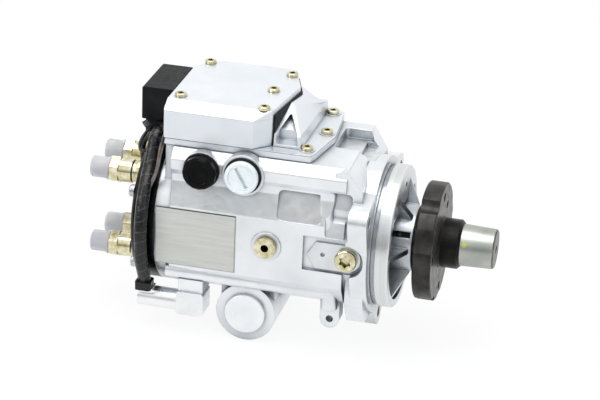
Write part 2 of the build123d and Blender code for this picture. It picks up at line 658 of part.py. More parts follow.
def sensor_ring():
    x0 = CAM_X + CAM_WIDTH / 2
    ring = tube_x(CAM_RING_R - 0.5, CUP_R + 1.5, x0, x0 + SENSOR_RING_THICK)
    return Rot(-ADVANCE_DEG / 2, 0, 0) * ring


def angle_sensor():
    x0 = CAM_X + CAM_WIDTH / 2 + SENSOR_RING_THICK
    y0 = WHEEL_R + SENSOR_GAP
    body = block(x0, x0 + 7, -7, 7, y0, CAM_RING_R - 2.5)
    return Rot(-ADVANCE_DEG / 2, 0, 0) * body


# ---- plungers and rollers ------------------------------------------------------------------
def turn_side(side):
    return Rot(0 if side > 0 else 180, 0, 0)


def plunger(side):
    return turn_side(side) * cyl_y(PLUNGER_R, PLUNGER_INNER_R, SHOE_INNER_R, CAM_X, 0)


def roller_shoe(side):
    half = ROLLER_LEN / 2
    shoe = block(CAM_X - half, CAM_X + half, SHOE_INNER_R, ROLLER_CENTRE + 1,
                 -SHOE_HALF_W, SHOE_HALF_W)
    shoe -= cyl_x(ROLLER_R + RUN_FIT, CAM_X - half - 1, CAM_X + half + 1, ROLLER_CENTRE, 0)
    return turn_side(side) * shoe


def roller(side):
    half = ROLLER_LEN / 2
    return turn_side(side) * cyl_x(ROLLER_R, CAM_X - half, CAM_X + half, ROLLER_CENTRE, 0)


# ---- distributor head group ----------------------------------------------------------------
def distributor_rotor():
    half = CAM_WIDTH / 2 - 1
    rotor = cyl_x(ROTOR_R, ROTOR_REAR_X, CAM_X)
    rotor += cyl_x(ROTOR_HEAD_R, CAM_X - half, CAM_X + half)
    rotor += block(CAM_X + half - 1, CAM_X + half + 3, -7.9, 7.9, -2.9, 2.9)
    rotor -= cyl_y(PLUNGER_R + RUN_FIT, -ROTOR_HEAD_R - 1, ROTOR_HEAD_R + 1, CAM_X, 0)
    return rotor - cyl_x(NEEDLE_R + RUN_FIT, ROTOR_REAR_X - 1, ROTOR_REAR_X + 40)


def valve_needle():
    return cyl_x(NEEDLE_R, ROTOR_REAR_X + 0.2, ROTOR_REAR_X + 38)


def distributor_sleeve():
    return tube_x(SLEEVE_R, ROTOR_R + RUN_FIT, ROTOR_REAR_X, SPIGOT_END_X)


def outlets():
    return [(y, z) for z in (OUTLET_Z, -OUTLET_Z) for y in (-OUTLET_Y, OUTLET_Y)]


def distributor_head():
    head = turned([
        (HEAD_REAR_X, 0), (HEAD_REAR_X, HEAD_R - 2), (HEAD_REAR_X + 2, HEAD_R), (REAR_X, HEAD_R),
        (REAR_X, CAM_BORE_R - SEAT_FIT), (SPIGOT_END_X - 1, CAM_BORE_R - SEAT_FIT),
        (SPIGOT_END_X, CAM_BORE_R - 1), (SPIGOT_END_X, 0),
    ])
    head -= cyl_x(SLEEVE_R + SEAT_FIT, ROTOR_REAR_X - 1, SPIGOT_END_X + 1)
    head -= cyl_x(VALVE_BODY_R + SEAT_FIT, HEAD_REAR_X - 1, ROTOR_REAR_X)
    for y, z in outlets():
        head -= cyl_x(OUTLET_BORE_R + SEAT_FIT, HEAD_REAR_X - 1, HEAD_REAR_X + OUTLET_DEPTH, y, z)
        head -= cyl_x(PASSAGE_R, HEAD_REAR_X, SPIGOT_END_X - 12, y, z)
    for angle in HEAD_SCREW_DEG:
        y, z = polar(HEAD_SCREW_PCD_R, angle)
        head -= cyl_x(HEAD_SCREW_R + 0.4, HEAD_REAR_X - 1, REAR_X + 1, y, z)
    return head


def head_screws():
    screws = []
    for angle in HEAD_SCREW_DEG:
        y, z = polar(HEAD_SCREW_PCD_R, angle)
        screw = torx_screw(HEAD_SCREW_R * 1.8, 4.0, HEAD_SCREW_R, HEAD_THICK + HEAD_SCREW_GRIP - 1)
        screws.append(Pos(HEAD_REAR_X, y, z) * Rot(0, -90, 0) * screw)
    return Compound(children=screws)


def pressure_solenoid():
    """High-pressure solenoid, sunk in the rear of the head."""
    x0, x1 = HEAD_REAR_X - 1, ROTOR_REAR_X - 0.5
    body = turned([
        (x0, 0), (x0, VALVE_BODY_R - 3), (x0 + 1, VALVE_BODY_R - 2), (x0 + 1, VALVE_BODY_R),
        (x1, VALVE_BODY_R), (x1, 0),
    ])
    body -= tube_x(VALVE_BODY_R - 5, VALVE_BODY_R - 6, x0 - 1, x0 + 0.8)
    cap = block(x0 - LEAD_CAP_DEPTH, x0 + 0.5, -7, 7, -8, LEAD_CAP_Z)
    return body + fillet(cap.edges().filter_by(Axis.X), 2.0)


def delivery_valve_holders():
    holders = []
    hex_r = HOLDER_HEX_AF / 2 / cos(pi / 6)
    for y, z in outlets():
        seat_x = HEAD_REAR_X + OUTLET_DEPTH
        neck_x = HEAD_REAR_X - HOLDER_NECK_LEN
        hex_x = neck_x - HOLDER_HEX_LEN
        tip_x = hex_x - NIPPLE_LEN
        r = OUTLET_BORE_R
        body = turned([
            (seat_x, 0), (seat_x, r - 1.5), (HEAD_REAR_X, r - 1.5 + 1.5), (HEAD_REAR_X - 5, r),
            (HEAD_REAR_X - 6, r - 0.8), (HEAD_REAR_X - 8, r - 0.8), (HEAD_REAR_X - 9, r),
            (neck_x, r), (hex_x, r), (hex_x, NIPPLE_R), (tip_x + 2, NIPPLE_R),
            (tip_x, NIPPLE_R - 2), (tip_x, 0),
        ])
        nut = along_x(RegularPolygon(hex_r, 6, rotation=30), hex_x, neck_x)
        body += nut
        body -= cyl_x(HOLDER_BORE_R, seat_x - HOLDER_BORE_DEPTH, seat_x + 1)
        body -= cyl_x(PASSAGE_R, tip_x - 1, seat_x)
        holders.append(Pos(0, y, z) * body)
    return holders


def delivery_valve(y, z):
    """Valve cone with a guided piston, seated at the bottom of its holder."""
    seat_x = HEAD_REAR_X + OUTLET_DEPTH
    r = HOLDER_BORE_R - RUN_FIT
    cone = turned([
        (seat_x, 0), (seat_x - 3, r - 1), (seat_x - 3, r), (seat_x - VALVE_SHOULDER, r),
        (seat_x - VALVE_SHOULDER, 2), (seat_x - VALVE_SHOULDER - 3, 2),
        (seat_x - VALVE_SHOULDER - 3, 0),
    ])
    return Pos(0, y, z) * cone


def valve_springs():
    """Closing springs of the four delivery valves."""
    seat_x = HEAD_REAR_X + OUTLET_DEPTH
    length = HOLDER_BORE_DEPTH - VALVE_SHOULDER
    spring = coil_spring(HOLDER_BORE_R - 1.1, 0.5, length, 7)
    return Compound(children=[
        Pos(seat_x - VALVE_SHOULDER, y, z) * Rot(0, -90, 0) * spring for y, z in outlets()
    ])


def outlet_caps():
    """Push-on protective caps over the four outlet threads."""
    caps = []
    hex_x = HEAD_REAR_X - HOLDER_NECK_LEN - HOLDER_HEX_LEN
    tip_x = hex_x - NIPPLE_LEN
    for y, z in outlets():
        cap = turned([
            (hex_x - 0.5, 0), (hex_x - 0.5, NIPPLE_R + CAP_WALL + 0.8),
            (hex_x - 2.5, NIPPLE_R + CAP_WALL + 0.8), (hex_x - 2.5, NIPPLE_R + CAP_WALL),
            (tip_x - CAP_WALL + 1, NIPPLE_R + CAP_WALL), (tip_x - CAP_WALL, NIPPLE_R + CAP_WALL - 1),
            (tip_x - CAP_WALL, 0),
        ])
        cap -= cyl_x(NIPPLE_R + SEAT_FIT, tip_x, hex_x + 1)
        caps.append(Pos(0, y, z) * cap)
    return Compound(children=caps)


# ---- timing device -------------------------------------------------------------------------
def timing_piston():
    y0 = PISTON_REST_Y - PISTON_LEN / 2
    piston = cyl_y(PISTON_R, y0, y0 + PISTON_LEN, CAM_X, TIMER_Z)
    socket_r = PIN_BALL_R + MOVE_GAP
    piston -= cyl_z(socket_r, TIMER_Z - 7, TIMER_Z + PISTON_R + 1, CAM_X, PISTON_REST_Y)
    piston -= cyl_y(SPRING_R + 1.5, y0 + PISTON_LEN - SPRING_POCKET, y0 + PISTON_LEN + 1, CAM_X, TIMER_Z)
    return piston


def timing_spring():
    """Return spring between the timing piston and the far plug."""
    y0 = PISTON_REST_Y + PISTON_LEN / 2 - SPRING_POCKET
    y1 = TIMER_HALF_W - PLUG_NECK_LEN
    return Pos(CAM_X, y0, TIMER_Z) * Rot(-90, 0, 0) * coil_spring(SPRING_R, 0.9, y1 - y0, 6)


def timer_plug(side):
    """Screwed plug with a raised round face, closing one end of the timing bore."""
    y0 = side * TIMER_HALF_W
    disc = cyl_y(PLUG_R, y0, y0 + side * PLUG_THICK, CAM_X, TIMER_Z)
    neck = cyl_y(PISTON_R, y0 - side * PLUG_NECK_LEN, y0, CAM_X, TIMER_Z)
    return disc + neck


# ---- control unit parts --------------------------------------------------------------------
def shrunk(points, wall, z0, z1, radius):
    """Outline offset inward by a wall, extruded."""
    face = offset(make_face(Polyline(*points, close=True)), -wall)
    return extrude(Pos(0, 0, z0) * face, z1 - z0)


def control_base_plate():
    """Die-cast plate under the control unit with a wedge-shaped hood in front of it."""
    outline = [
        (UNIT_REAR_X, UNIT_NEAR_Y + 1), (BASE_FRONT_X - 8, UNIT_NEAR_Y + 1),
        (BASE_FRONT_X - 6, UNIT_NEAR_Y + 7), (BASE_FRONT_X, 0), (BASE_FRONT_X - 4, 46),
        (BASE_FRONT_X - 12, 54), (-80, UNIT_FAR_Y + 1), (-140, UNIT_FAR_Y + 1), (UNIT_REAR_X, 44),
    ]
    plate = flat(outline, DECK_Z, BASE_TOP_Z, 2.0)
    plate += hood() - shrunk(UNIT_OUTLINE, -GASKET_THICK, BASE_TOP_Z - 1, COVER_TOP_Z, 0)
    for x, y in BASE_SCREWS:
        plate += cyl_z(SCREW_HEAD_R + 1.5, BASE_TOP_Z - 0.5, BASE_TOP_Z + 0.5, x, y)
    for x, y in BASE_SCREWS:
        plate -= cyl_z(SCREW_R + 0.3, DECK_Z - 1, BASE_TOP_Z + 2, x, y)
        plate -= cyl_z(SCREW_HEAD_R + 0.2, BASE_TOP_Z + 0.5, BASE_TOP_Z + 5, x, y)
    return plate


def hood():
    """Hood before the tray: upright, then slanted, with a three-cornered pocket on the near side."""
    low = make_face(Polyline((-81, -32), (-61, -32), (-60, 45), (-81, 45), close=True))
    mid = make_face(Polyline((-81, -31), (-62, -31), (-60.5, 44), (-81, 44), close=True))
    top = Plane(origin=(-75, 0, HOOD_TOP_Z), x_dir=(1, 0, -0.5), z_dir=(0.5, 0, 1))
    high = make_face(Polyline((-1.5, -1), (1.5, -1), (17, 27), (-1.5, 31), close=True))
    mid_z = BASE_TOP_Z + HOOD_UPRIGHT
    solid = loft([Pos(0, 0, BASE_TOP_Z) * low, Pos(0, 0, mid_z) * mid, top * high], ruled=True)
    face = rounded([(-79, BASE_TOP_Z + 2), (-63.5, BASE_TOP_Z + 2), (-64.5, mid_z),
                    (-74, HOOD_TOP_Z - 3.5), (-79, mid_z)], 1.0)
    window = Pos(0, 20, 0) * extrude(Plane.XZ * face, 60)
    return solid - (window - Pos(0, HOOD_POCKET_DEPTH, 0) * solid)


def control_unit_body():
    """Open tray that holds the circuit board."""
    tray = flat(UNIT_OUTLINE, BASE_TOP_Z, COVER_Z, 1.5)
    inner = shrunk(UNIT_OUTLINE, TRAY_WALL, BASE_TOP_Z + TRAY_WALL, COVER_Z + 1, 1.0)
    for x, y in COVER_SCREWS:
        inner -= cyl_z(SCREW_HEAD_R + 1.5, BASE_TOP_Z, COVER_Z + 2, x, y)
    tray -= inner
    for x, y in COVER_SCREWS:
        tray -= cyl_z(SCREW_R + 0.3, BASE_TOP_Z - 1, COVER_Z + 1, x, y)
    return tray


def control_unit_cover():
    """Lid with a long bevel on the near side."""
    lid = flat(UNIT_OUTLINE, COVER_Z, COVER_TOP_Z, 1.5)
    bevel = make_face(Polyline(
        (UNIT_NEAR_Y - 1, COVER_Z), (UNIT_NEAR_Y - 1, COVER_TOP_Z + 1),
        (UNIT_NEAR_Y + 10, COVER_TOP_Z + 1), (UNIT_NEAR_Y + 10, COVER_TOP_Z),
        (UNIT_NEAR_Y, COVER_Z + 0.8), close=True,
    ))
    lid -= along_x(bevel, UNIT_REAR_X - 1, -70)
    for x, y in COVER_SCREWS:
        lid -= cyl_z(SCREW_R + 0.3, COVER_Z - 1, COVER_TOP_Z + 1, x, y)
    return lid


def control_unit_gasket():
    """Strip that seals the slanted front wall against the hood."""
    outer = shrunk(UNIT_OUTLINE, -GASKET_THICK, BASE_TOP_Z, COVER_Z + 2, 0)
    inner = shrunk(UNIT_OUTLINE, -0.02, BASE_TOP_Z - 1, COVER_Z + 3, 0)
    keep = block(-92, -70, -30, 46, BASE_TOP_Z, COVER_Z + 2)
    return (outer - inner) & keep


def control_unit_board():
    z0 = BASE_TOP_Z + TRAY_WALL + 3
    board = shrunk(UNIT_OUTLINE, TRAY_WALL + 0.5, z0, z0 + BOARD_THICK, 1.0)
    for x, y in COVER_SCREWS:
        board -= cyl_z(SCREW_HEAD_R + 2.0, z0 - 1, z0 + BOARD_THICK + 1, x, y)
    chips = block(-140, -118, -20, 2, z0 + BOARD_THICK, z0 + BOARD_THICK + 2.5)
    chips += block(-110, -96, 10, 24, z0 + BOARD_THICK, z0 + BOARD_THICK + 2.0)
    chips += block(-138, -128, 18, 32, z0 + BOARD_THICK, z0 + BOARD_THICK + 4.0)
    posts = cyl_z(3, BASE_TOP_Z + TRAY_WALL, z0, -118, -25) + cyl_z(3, BASE_TOP_Z + TRAY_WALL, z0, -118, 30)
    return board + chips + posts


def control_unit_screws():
    screws = []
    for x, y in COVER_SCREWS:
        screw = torx_screw(SCREW_HEAD_R, SCREW_HEAD_H, SCREW_R, COVER_TOP_Z - BASE_TOP_Z)
        screws.append(Pos(x, y, COVER_TOP_Z) * screw)
    for x, y in BASE_SCREWS:
        screw = torx_screw(SCREW_HEAD_R, SCREW_HEAD_H, SCREW_R, BASE_THICK + BASE_SCREW_GRIP)
        screws.append(Pos(x, y, BASE_TOP_Z + 0.5) * screw)
    return Compound(children=screws)


# ---- connector and harness -----------------------------------------------------------------
def connector():
    """Moulded plug housing with a rear-facing socket, its contact pins and a cable neck."""
    y0, y1 = PLUG_Y
    body = block(PLUG_REAR_X, UNIT_REAR_X, y0, y1, PLUG_BOTTOM_Z, PLUG_TOP_Z)
    body = chamfer(body.edges().filter_by(Axis.Y).group_by(Axis.Z)[-1], 1.2)
    body = fillet(body.edges().filter_by(Axis.Z), 1.5)
    body += block(HARNESS_X - 10.5, UNIT_REAR_X - 0.5, y0 + 1, y0 + 20, NECK_BOTTOM_Z, PLUG_BOTTOM_Z + 1)
    body -= block(PLUG_REAR_X - 1, PLUG_REAR_X + PLUG_CAVITY, y0 + PLUG_WALL, y1 - PLUG_WALL,
                  PLUG_BOTTOM_Z + PLUG_WALL, PLUG_TOP_Z - PLUG_WALL)
    body -= cyl_z(LEAD_R + 0.3, NECK_BOTTOM_Z - 1, LEAD_TOP_Z, LEAD_X, LEAD_Y)
    mid_z = (PLUG_BOTTOM_Z + PLUG_TOP_Z) / 2
    for k in range(PIN_COUNT):
        y = y0 + 8 + (k % 5) * (y1 - y0 - 16) / 4
        z = mid_z + (5 if k < 5 else -5)
        body += block(PLUG_REAR_X + 4, PLUG_REAR_X + PLUG_CAVITY + 1, y - 0.6, y + 0.6,
                      z - 0.6, z + 0.6)
    return body


def solenoid_lead():
    """Short lead from the cable neck over the rim of the head to the high-pressure solenoid."""
    run_x = HEAD_REAR_X - LEAD_CAP_DEPTH / 2 - 1.5
    points = [
        (LEAD_X, LEAD_Y, LEAD_TOP_Z), (LEAD_X, LEAD_Y, HEAD_R + 4.5), (run_x - 2, -1, HEAD_R - 7),
        (run_x, 0, 24), (run_x, 0, LEAD_CAP_Z),
    ]
    return rounded_cable(points, LEAD_R, "solenoid lead")


def harness_points():
    """Corners of the harness route: from the connector round the head to the solenoid."""
    exit_y = PLUG_Y[0] + 1
    exit_x = HARNESS_X + 1.5
    points = [(exit_x, exit_y, HARNESS_EXIT_Z), (exit_x, exit_y - 14, HARNESS_EXIT_Z)]
    for angle in HARNESS_ANGLES:
        y, z = polar(HARNESS_BEND_R, angle)
        points.append((HARNESS_X, y, z))
    points.append((HARNESS_X, COIL_PLUG_Y, COIL_PLUG_TOP_Z + 8))
    points.append((HARNESS_X, COIL_PLUG_Y, COIL_PLUG_TOP_Z))
    return points


def rounded_cable(corners, radius, name):
    """Round cable through corner points, with an arc as large as fits at each corner."""
    points = [Vector(*p) for p in corners]
    radii = []
    for a, b, c in zip(points, points[1:], points[2:]):
        turn = (b - a).get_angle(c - b)
        reach = 0.45 * min((b - a).length, (c - b).length)
        radii.append(reach / tan(radians(turn / 2)))
    path = FilletPolyline(*points, radius=radii)
    print(name, "bend radii", [round(r, 1) for r in radii], "length", round(path.length, 1))
    start = Plane(origin=path @ 0, z_dir=path % 0)
    return sweep(start * Circle(radius), path)


def timing_harness():
    """Taped harness with the moulded boot that plugs on to the timing solenoid."""
    cable = rounded_cable(harness_points(), HARNESS_R, "harness")
    half = HARNESS_R + 1.2
    boot = block(HARNESS_X - half, HARNESS_X + half, COIL_PLUG_Y - half, COIL_PLUG_Y + half,
                 COIL_PLUG_TOP_Z, COIL_PLUG_TOP_Z + BOOT_HEIGHT)
    return cable + fillet(boot.edges().filter_by(Axis.Z), 2.0)


def timing_solenoid():
    """Solenoid valve of the timing device with its plug and bracket."""
    coil = cyl_x(COIL_R, COIL_REAR_X, COIL_FRONT_X, COIL_Y, COIL_Z)
    coil += block(HARNESS_X - 4, HARNESS_X + 6, COIL_PLUG_Y - 1, COIL_Y + 4, COIL_Z,
                  COIL_PLUG_TOP_Z)
    flange = rounded([(COIL_FRONT_X - 1, COIL_Z - 7), (COIL_FRONT_X - 1, SOLENOID_SEAT_Z),
                      (COIL_FRONT_X + 19, SOLENOID_SEAT_Z), (COIL_FRONT_X + 19, COIL_Z - 7)], 2.0)
    coil += Pos(0, COIL_Y + 9, 0) * extrude(Plane.XZ * flange, 18)
    return coil


def solenoid_seat():
    """Pad of the casting that the timing solenoid is bolted to."""
    return block(COIL_FRONT_X, COIL_FRONT_X + 18, COIL_Y - 7, COIL_Y + 17, SOLENOID_SEAT_Z, -34)


# ---- ports and fittings --------------------------------------------------------------------
def port_bosses():
    """Bosses and pads on the near side of the casting."""
    pads = cyl_y(INLET_BOSS_R, PORT_FACE_Y, PORT_FACE_Y + 14, INLET_X, INLET_Z)
    pads += cyl_y(REGULATOR_CAP_R + 1.8, PORT_FACE_Y + 1, PORT_FACE_Y + 12, REGULATOR_X, REGULATOR_Z)
    pads -= block(REGULATOR_X - 20, INLET_X + 20, UNIT_NEAR_Y, 0, DECK_Z, DECK_Z + 10)
    pads += cyl_y(RETURN_BOSS_R, PORT_FACE_Y - 1, PORT_FACE_Y + 12, RETURN_X, RETURN_Z)
    start, end = [Vector(*p) for p in TUBE_ENDS]
    run = Plane(origin=start, z_dir=end - start)
    pads += extrude(run * Circle(TUBE_R), (end - start).length)
    pads -= extrude(run * Circle(TUBE_R - 2.5), TUBE_BORE_DEPTH)
    return pads + solenoid_seat()


def port_cuts():
    cuts = cyl_y(INLET_PLUG_R + 0.3, PORT_FACE_Y - 1, PORT_FACE_Y + 4, INLET_X, INLET_Z)
    cuts += cyl_y(PORT_BORE_R, PORT_FACE_Y, PORT_FACE_Y + PORT_DEPTH, INLET_X, INLET_Z)
    cuts += cyl_y(PORT_BORE_R, PORT_FACE_Y, PORT_FACE_Y + PORT_DEPTH, REGULATOR_X, REGULATOR_Z)
    cuts += cyl_y(RETURN_BORE_R + 2, PORT_FACE_Y - 2, -CAM_BORE_R + 5, RETURN_X, RETURN_Z)
    for x, y in BASE_SCREWS:
        cuts += cyl_z(SCREW_R + SEAT_FIT, DECK_Z - BASE_SCREW_GRIP - 1, DECK_Z + 1, x, y)
    cuts += cyl_y(LOCK_SHANK_R + SEAT_FIT, -60, LOCK_TIP_Y + 0.3, LOCK_X, LOCK_Z)
    cuts += block(LOCK_X - 31, LOCK_X, LOCK_PAD_Y - 30, LOCK_PAD_Y, LOCK_Z - 12, LOCK_Z + 14)
    cuts += cyl_y(LOCK_CUT_R, LOCK_PAD_Y - 30, LOCK_PAD_Y, LOCK_X, LOCK_Z + 1)
    return cuts


def inlet_plug():
    """Push-in transport plug with a slot, in the fuel inlet."""
    plug = cyl_y(INLET_PLUG_R, PORT_FACE_Y - 5, PORT_FACE_Y + 4, INLET_X, INLET_Z)
    plug += cyl_y(PORT_BORE_R - SEAT_FIT, PORT_FACE_Y, PORT_FACE_Y + PORT_DEPTH - 2, INLET_X, INLET_Z)
    slot = block(-1.2, 1.2, PORT_FACE_Y - 6, PORT_FACE_Y - 3, -8, 8)
    return plug - Pos(INLET_X, 0, INLET_Z) * Rot(0, -30, 0) * slot


def regulator_cap():
    """Black screw cap over the pressure regulating valve."""
    cap = cyl_y(REGULATOR_CAP_R, PORT_FACE_Y - 7, PORT_FACE_Y + 1, REGULATOR_X, REGULATOR_Z)
    cap += cyl_y(PORT_BORE_R - SEAT_FIT, PORT_FACE_Y, PORT_FACE_Y + PORT_DEPTH - 2,
                 REGULATOR_X, REGULATOR_Z)
    return cap


def return_screw():
    """Hollow screw of the fuel return."""
    y0 = PORT_FACE_Y - 1
    screw = cyl_y(RETURN_HEAD_R, y0 - 4, y0, RETURN_X, RETURN_Z)
    screw += cyl_y(RETURN_BORE_R + 2 - SEAT_FIT, y0, -CAM_BORE_R - 1, RETURN_X, RETURN_Z)
    return screw - cyl_y(RETURN_BORE_R, y0 - 5, -CAM_BORE_R + 1, RETURN_X, RETURN_Z)


def lock_screw():
    y0 = LOCK_PAD_Y - LOCK_PLATE_THICK
    screw = torx_screw(LOCK_HEAD_R, 5.0, LOCK_SHANK_R, y0 * -1 + LOCK_TIP_Y)
    return Pos(LOCK_X, y0, LOCK_Z) * Rot(90, 0, 0) * screw


def lock_plate():
    """Keyhole spacer plate under the head of the locking screw."""
    outline = [(-28, 0), (-22, 10), (0, 10), (0, -10), (-22, -10)]
    face = rounded([(LOCK_X + x, LOCK_Z + z) for x, z in outline], 1.0)
    face += Pos(LOCK_X, LOCK_Z) * Circle(10)
    plate = Pos(0, LOCK_PAD_Y, 0) * extrude(Plane.XZ * face, LOCK_PLATE_THICK)
    plate -= cyl_y(LOCK_SHANK_R + 0.3, LOCK_PAD_Y - 5, LOCK_PAD_Y + 1, LOCK_X, LOCK_Z)
    return plate - cyl_y(1.6, LOCK_PAD_Y - 5, LOCK_PAD_Y + 1, LOCK_X - 17, LOCK_Z + 1)


def rating_plate():
    return block(*PLATE_X, PAD_Y - PLATE_T, PAD_Y, *PLATE_Z)


# ---- small inner parts ---------------------------------------------------------------------
def front_bearing_bush():
    return tube_x(SHAFT_R + BUSH_WALL - SEAT_FIT, SHAFT_R + RUN_FIT, PUMP_CHAMBER_FRONT_X + 1,
                  SEAL_REAR_X - 1)


def shaft_seals():
    seals = []
    for k in range(2):
        x0 = SEAL_REAR_X + k * (SEAL_THICK + SEAL_GAP)
        seal = turned([
            (x0, SHAFT_R + 3), (x0, SEAL_R - SEAT_FIT), (x0 + SEAL_THICK, SEAL_R - SEAT_FIT),
            (x0 + SEAL_THICK, SHAFT_R + 2), (x0 + 2.5, SHAFT_R + RUN_FIT),
            (x0 + 1.5, SHAFT_R + RUN_FIT),
        ])
        seals.append(seal)
    return Compound(children=seals)


def pump_plate_screws():
    """Screws that clamp the two side plates and the liner to the housing."""
    screws = []
    shank = 2 * PLATE_GAP_HALF + 2 * PLATE_THICK + PLATE_SCREW_GRIP
    for k in range(3):
        y, z = polar(PLATE_SCREW_PCD_R, 90 + 120 * k)
        screw = torx_screw(2.6, 1.8, PLATE_SCREW_R, shank)
        screws.append(Pos(CAM_CHAMBER_FRONT_X, y, z) * Rot(0, -90, 0) * screw)
    return Compound(children=screws)


def plate_screw_holes(clearance, x1):
    holes = [cyl_x(PLATE_SCREW_R + clearance, CAM_CHAMBER_FRONT_X - 1, x1,
                   *polar(PLATE_SCREW_PCD_R, 90 + 120 * k)) for k in range(3)]
    return holes[0] + holes[1] + holes[2]


def build_all():
    parts = {
        "pump_housing": pump_housing(),
        "front_bearing_bush": front_bearing_bush(),
        "shaft_seals": shaft_seals(),
        "drive_shaft": drive_shaft(),
        "drive_hub": drive_hub(),
        "hub_key": key(HUB_KEY_X),
        "rotor_key": key(PUMP_MID_X),
        "vane_rotor": vane_rotor(),
        "pump_vanes": vanes(),
        "pump_liner_ring": pump_liner_ring(),
        "pump_rear_plate": side_plate(CAM_CHAMBER_FRONT_X),
        "pump_front_plate": side_plate(PUMP_CHAMBER_FRONT_X - PLATE_THICK),
        "pump_plate_screws": pump_plate_screws(),
        "increment_wheel": increment_wheel(),
        "sensor_ring": sensor_ring(),
        "angle_sensor": angle_sensor(),
        "cam_ring": cam_ring(),
        "timing_ball_pin": timing_ball_pin(),
        "distributor_rotor": distributor_rotor(),
        "distributor_sleeve": distributor_sleeve(),
        "distributor_head": distributor_head(),
        "head_screws": head_screws(),
        "pressure_solenoid": pressure_solenoid(),
        "valve_needle": valve_needle(),
        "outlet_caps": outlet_caps(),
        "valve_springs": valve_springs(),
        "timing_spring": timing_spring(),
        "timing_piston": timing_piston(),
        "timer_plug_near": timer_plug(-1),
        "timer_plug_far": timer_plug(1),
        "control_base_plate": control_base_plate(),
        "control_unit_body": control_unit_body(),
        "control_unit_cover": control_unit_cover(),
        "control_unit_gasket": control_unit_gasket(),
        "control_unit_board": control_unit_board(),
        "control_unit_screws": control_unit_screws(),
        "connector": connector(),
        "timing_harness": timing_harness(),
        "solenoid_lead": solenoid_lead(),
        "timing_solenoid": timing_solenoid(),
        "inlet_plug": inlet_plug(),
        "regulator_cap": regulator_cap(),
        "return_screw": return_screw(),
        "lock_screw": lock_screw(),
        "lock_plate": lock_plate(),
        "rating_plate": rating_plate(),
    }
    for name, side in (("a", 1), ("b", -1)):
        parts[f"plunger_{name}"] = plunger(side)
        parts[f"roller_shoe_{name}"] = roller_shoe(side)
        parts[f"roller_{name}"] = roller(side)
    for k, (y, z) in enumerate(outlets()):
        parts[f"delivery_valve_{k + 1}"] = delivery_valve(y, z)
        parts[f"delivery_valve_holder_{k + 1}"] = delivery_valve_holders()[k]
    return parts


os.makedirs("parts", exist_ok=True)
for node, shape in build_all().items():
    save(node, shape)
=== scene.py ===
import bpy
import bmesh
from math import cos, radians, sin, tau
from mathutils import Matrix, Vector


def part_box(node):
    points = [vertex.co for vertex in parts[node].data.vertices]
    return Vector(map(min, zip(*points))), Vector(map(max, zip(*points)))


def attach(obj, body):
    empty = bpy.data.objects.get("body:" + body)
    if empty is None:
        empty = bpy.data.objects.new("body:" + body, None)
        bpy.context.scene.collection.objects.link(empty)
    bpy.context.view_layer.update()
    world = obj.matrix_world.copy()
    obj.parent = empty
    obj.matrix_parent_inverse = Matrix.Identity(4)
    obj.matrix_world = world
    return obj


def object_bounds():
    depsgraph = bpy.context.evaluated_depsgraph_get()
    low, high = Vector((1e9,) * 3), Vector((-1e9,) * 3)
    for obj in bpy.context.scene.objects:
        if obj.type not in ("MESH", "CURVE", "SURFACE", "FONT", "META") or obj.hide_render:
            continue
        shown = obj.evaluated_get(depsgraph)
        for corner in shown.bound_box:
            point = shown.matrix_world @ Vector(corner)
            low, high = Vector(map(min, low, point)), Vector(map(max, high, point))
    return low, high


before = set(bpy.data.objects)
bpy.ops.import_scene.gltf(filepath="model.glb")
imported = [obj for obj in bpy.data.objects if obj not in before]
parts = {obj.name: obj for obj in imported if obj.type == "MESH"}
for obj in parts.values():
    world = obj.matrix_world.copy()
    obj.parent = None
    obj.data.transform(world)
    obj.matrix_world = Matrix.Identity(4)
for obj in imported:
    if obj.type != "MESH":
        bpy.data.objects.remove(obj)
cad_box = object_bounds()

# ---- Cast housing --------------------------------------------------------------------------
# The pump body is pressure die-cast aluminium, blasted after casting, so it is pale with a
# fine grain, and painted shade greys its corners.  The pilot that centres the pump is turned
# bright.
MM = 0.001


def srgb(code):
    """Linear colour of an sRGB hex code."""
    out = []
    for k in (1, 3, 5):
        c = int(code[k:k + 2], 16) / 255
        out.append(c / 12.92 if c <= 0.04045 else ((c + 0.055) / 1.055) ** 2.4)
    return (*out, 1.0)


def add(tree, kind, values=None, links=None, **settings):
    """Adds a shader node with its settings, socket values and incoming links."""
    n = tree.nodes.new(kind)
    for key, value in settings.items():
        setattr(n, key, value)
    for key, value in (values or {}).items():
        n.inputs[key].default_value = value
    for key, source in (links or {}).items():
        tree.links.new(source, n.inputs[key])
    return n


def material(name, colour, metallic, roughness):
    """Principled material; returns the material, its node tree and its shader."""
    m = bpy.data.materials.new(name)
    m.use_nodes = True
    m.diffuse_color = srgb(colour)
    shader = m.node_tree.nodes["Principled BSDF"]
    shader.inputs["Base Color"].default_value = srgb(colour)
    shader.inputs["Metallic"].default_value = metallic
    shader.inputs["Roughness"].default_value = roughness
    return m, m.node_tree, shader


def object_place(tree):
    """Place on the object, in metres."""
    return add(tree, "ShaderNodeTexCoord").outputs["Object"]


def noise(tree, place, size_mm, detail=3.0):
    """Noise whose lumps are about size_mm across."""
    return add(tree, "ShaderNodeTexNoise", {"Scale": 1000 / size_mm, "Detail": detail},
               {"Vector": place}).outputs["Fac"]


def ramp(tree, value, low, high, start=0.32, end=0.68):
    """Runs from one colour or number to another as the value goes from start to end."""
    n = add(tree, "ShaderNodeValToRGB", links={"Fac": value})
    ends = [srgb(c) if isinstance(c, str) else (c, c, c, 1) for c in (low, high)]
    for element, position, colour in zip(n.color_ramp.elements, (start, end), ends):
        element.position = position
        element.color = colour
    return n.outputs["Color"]


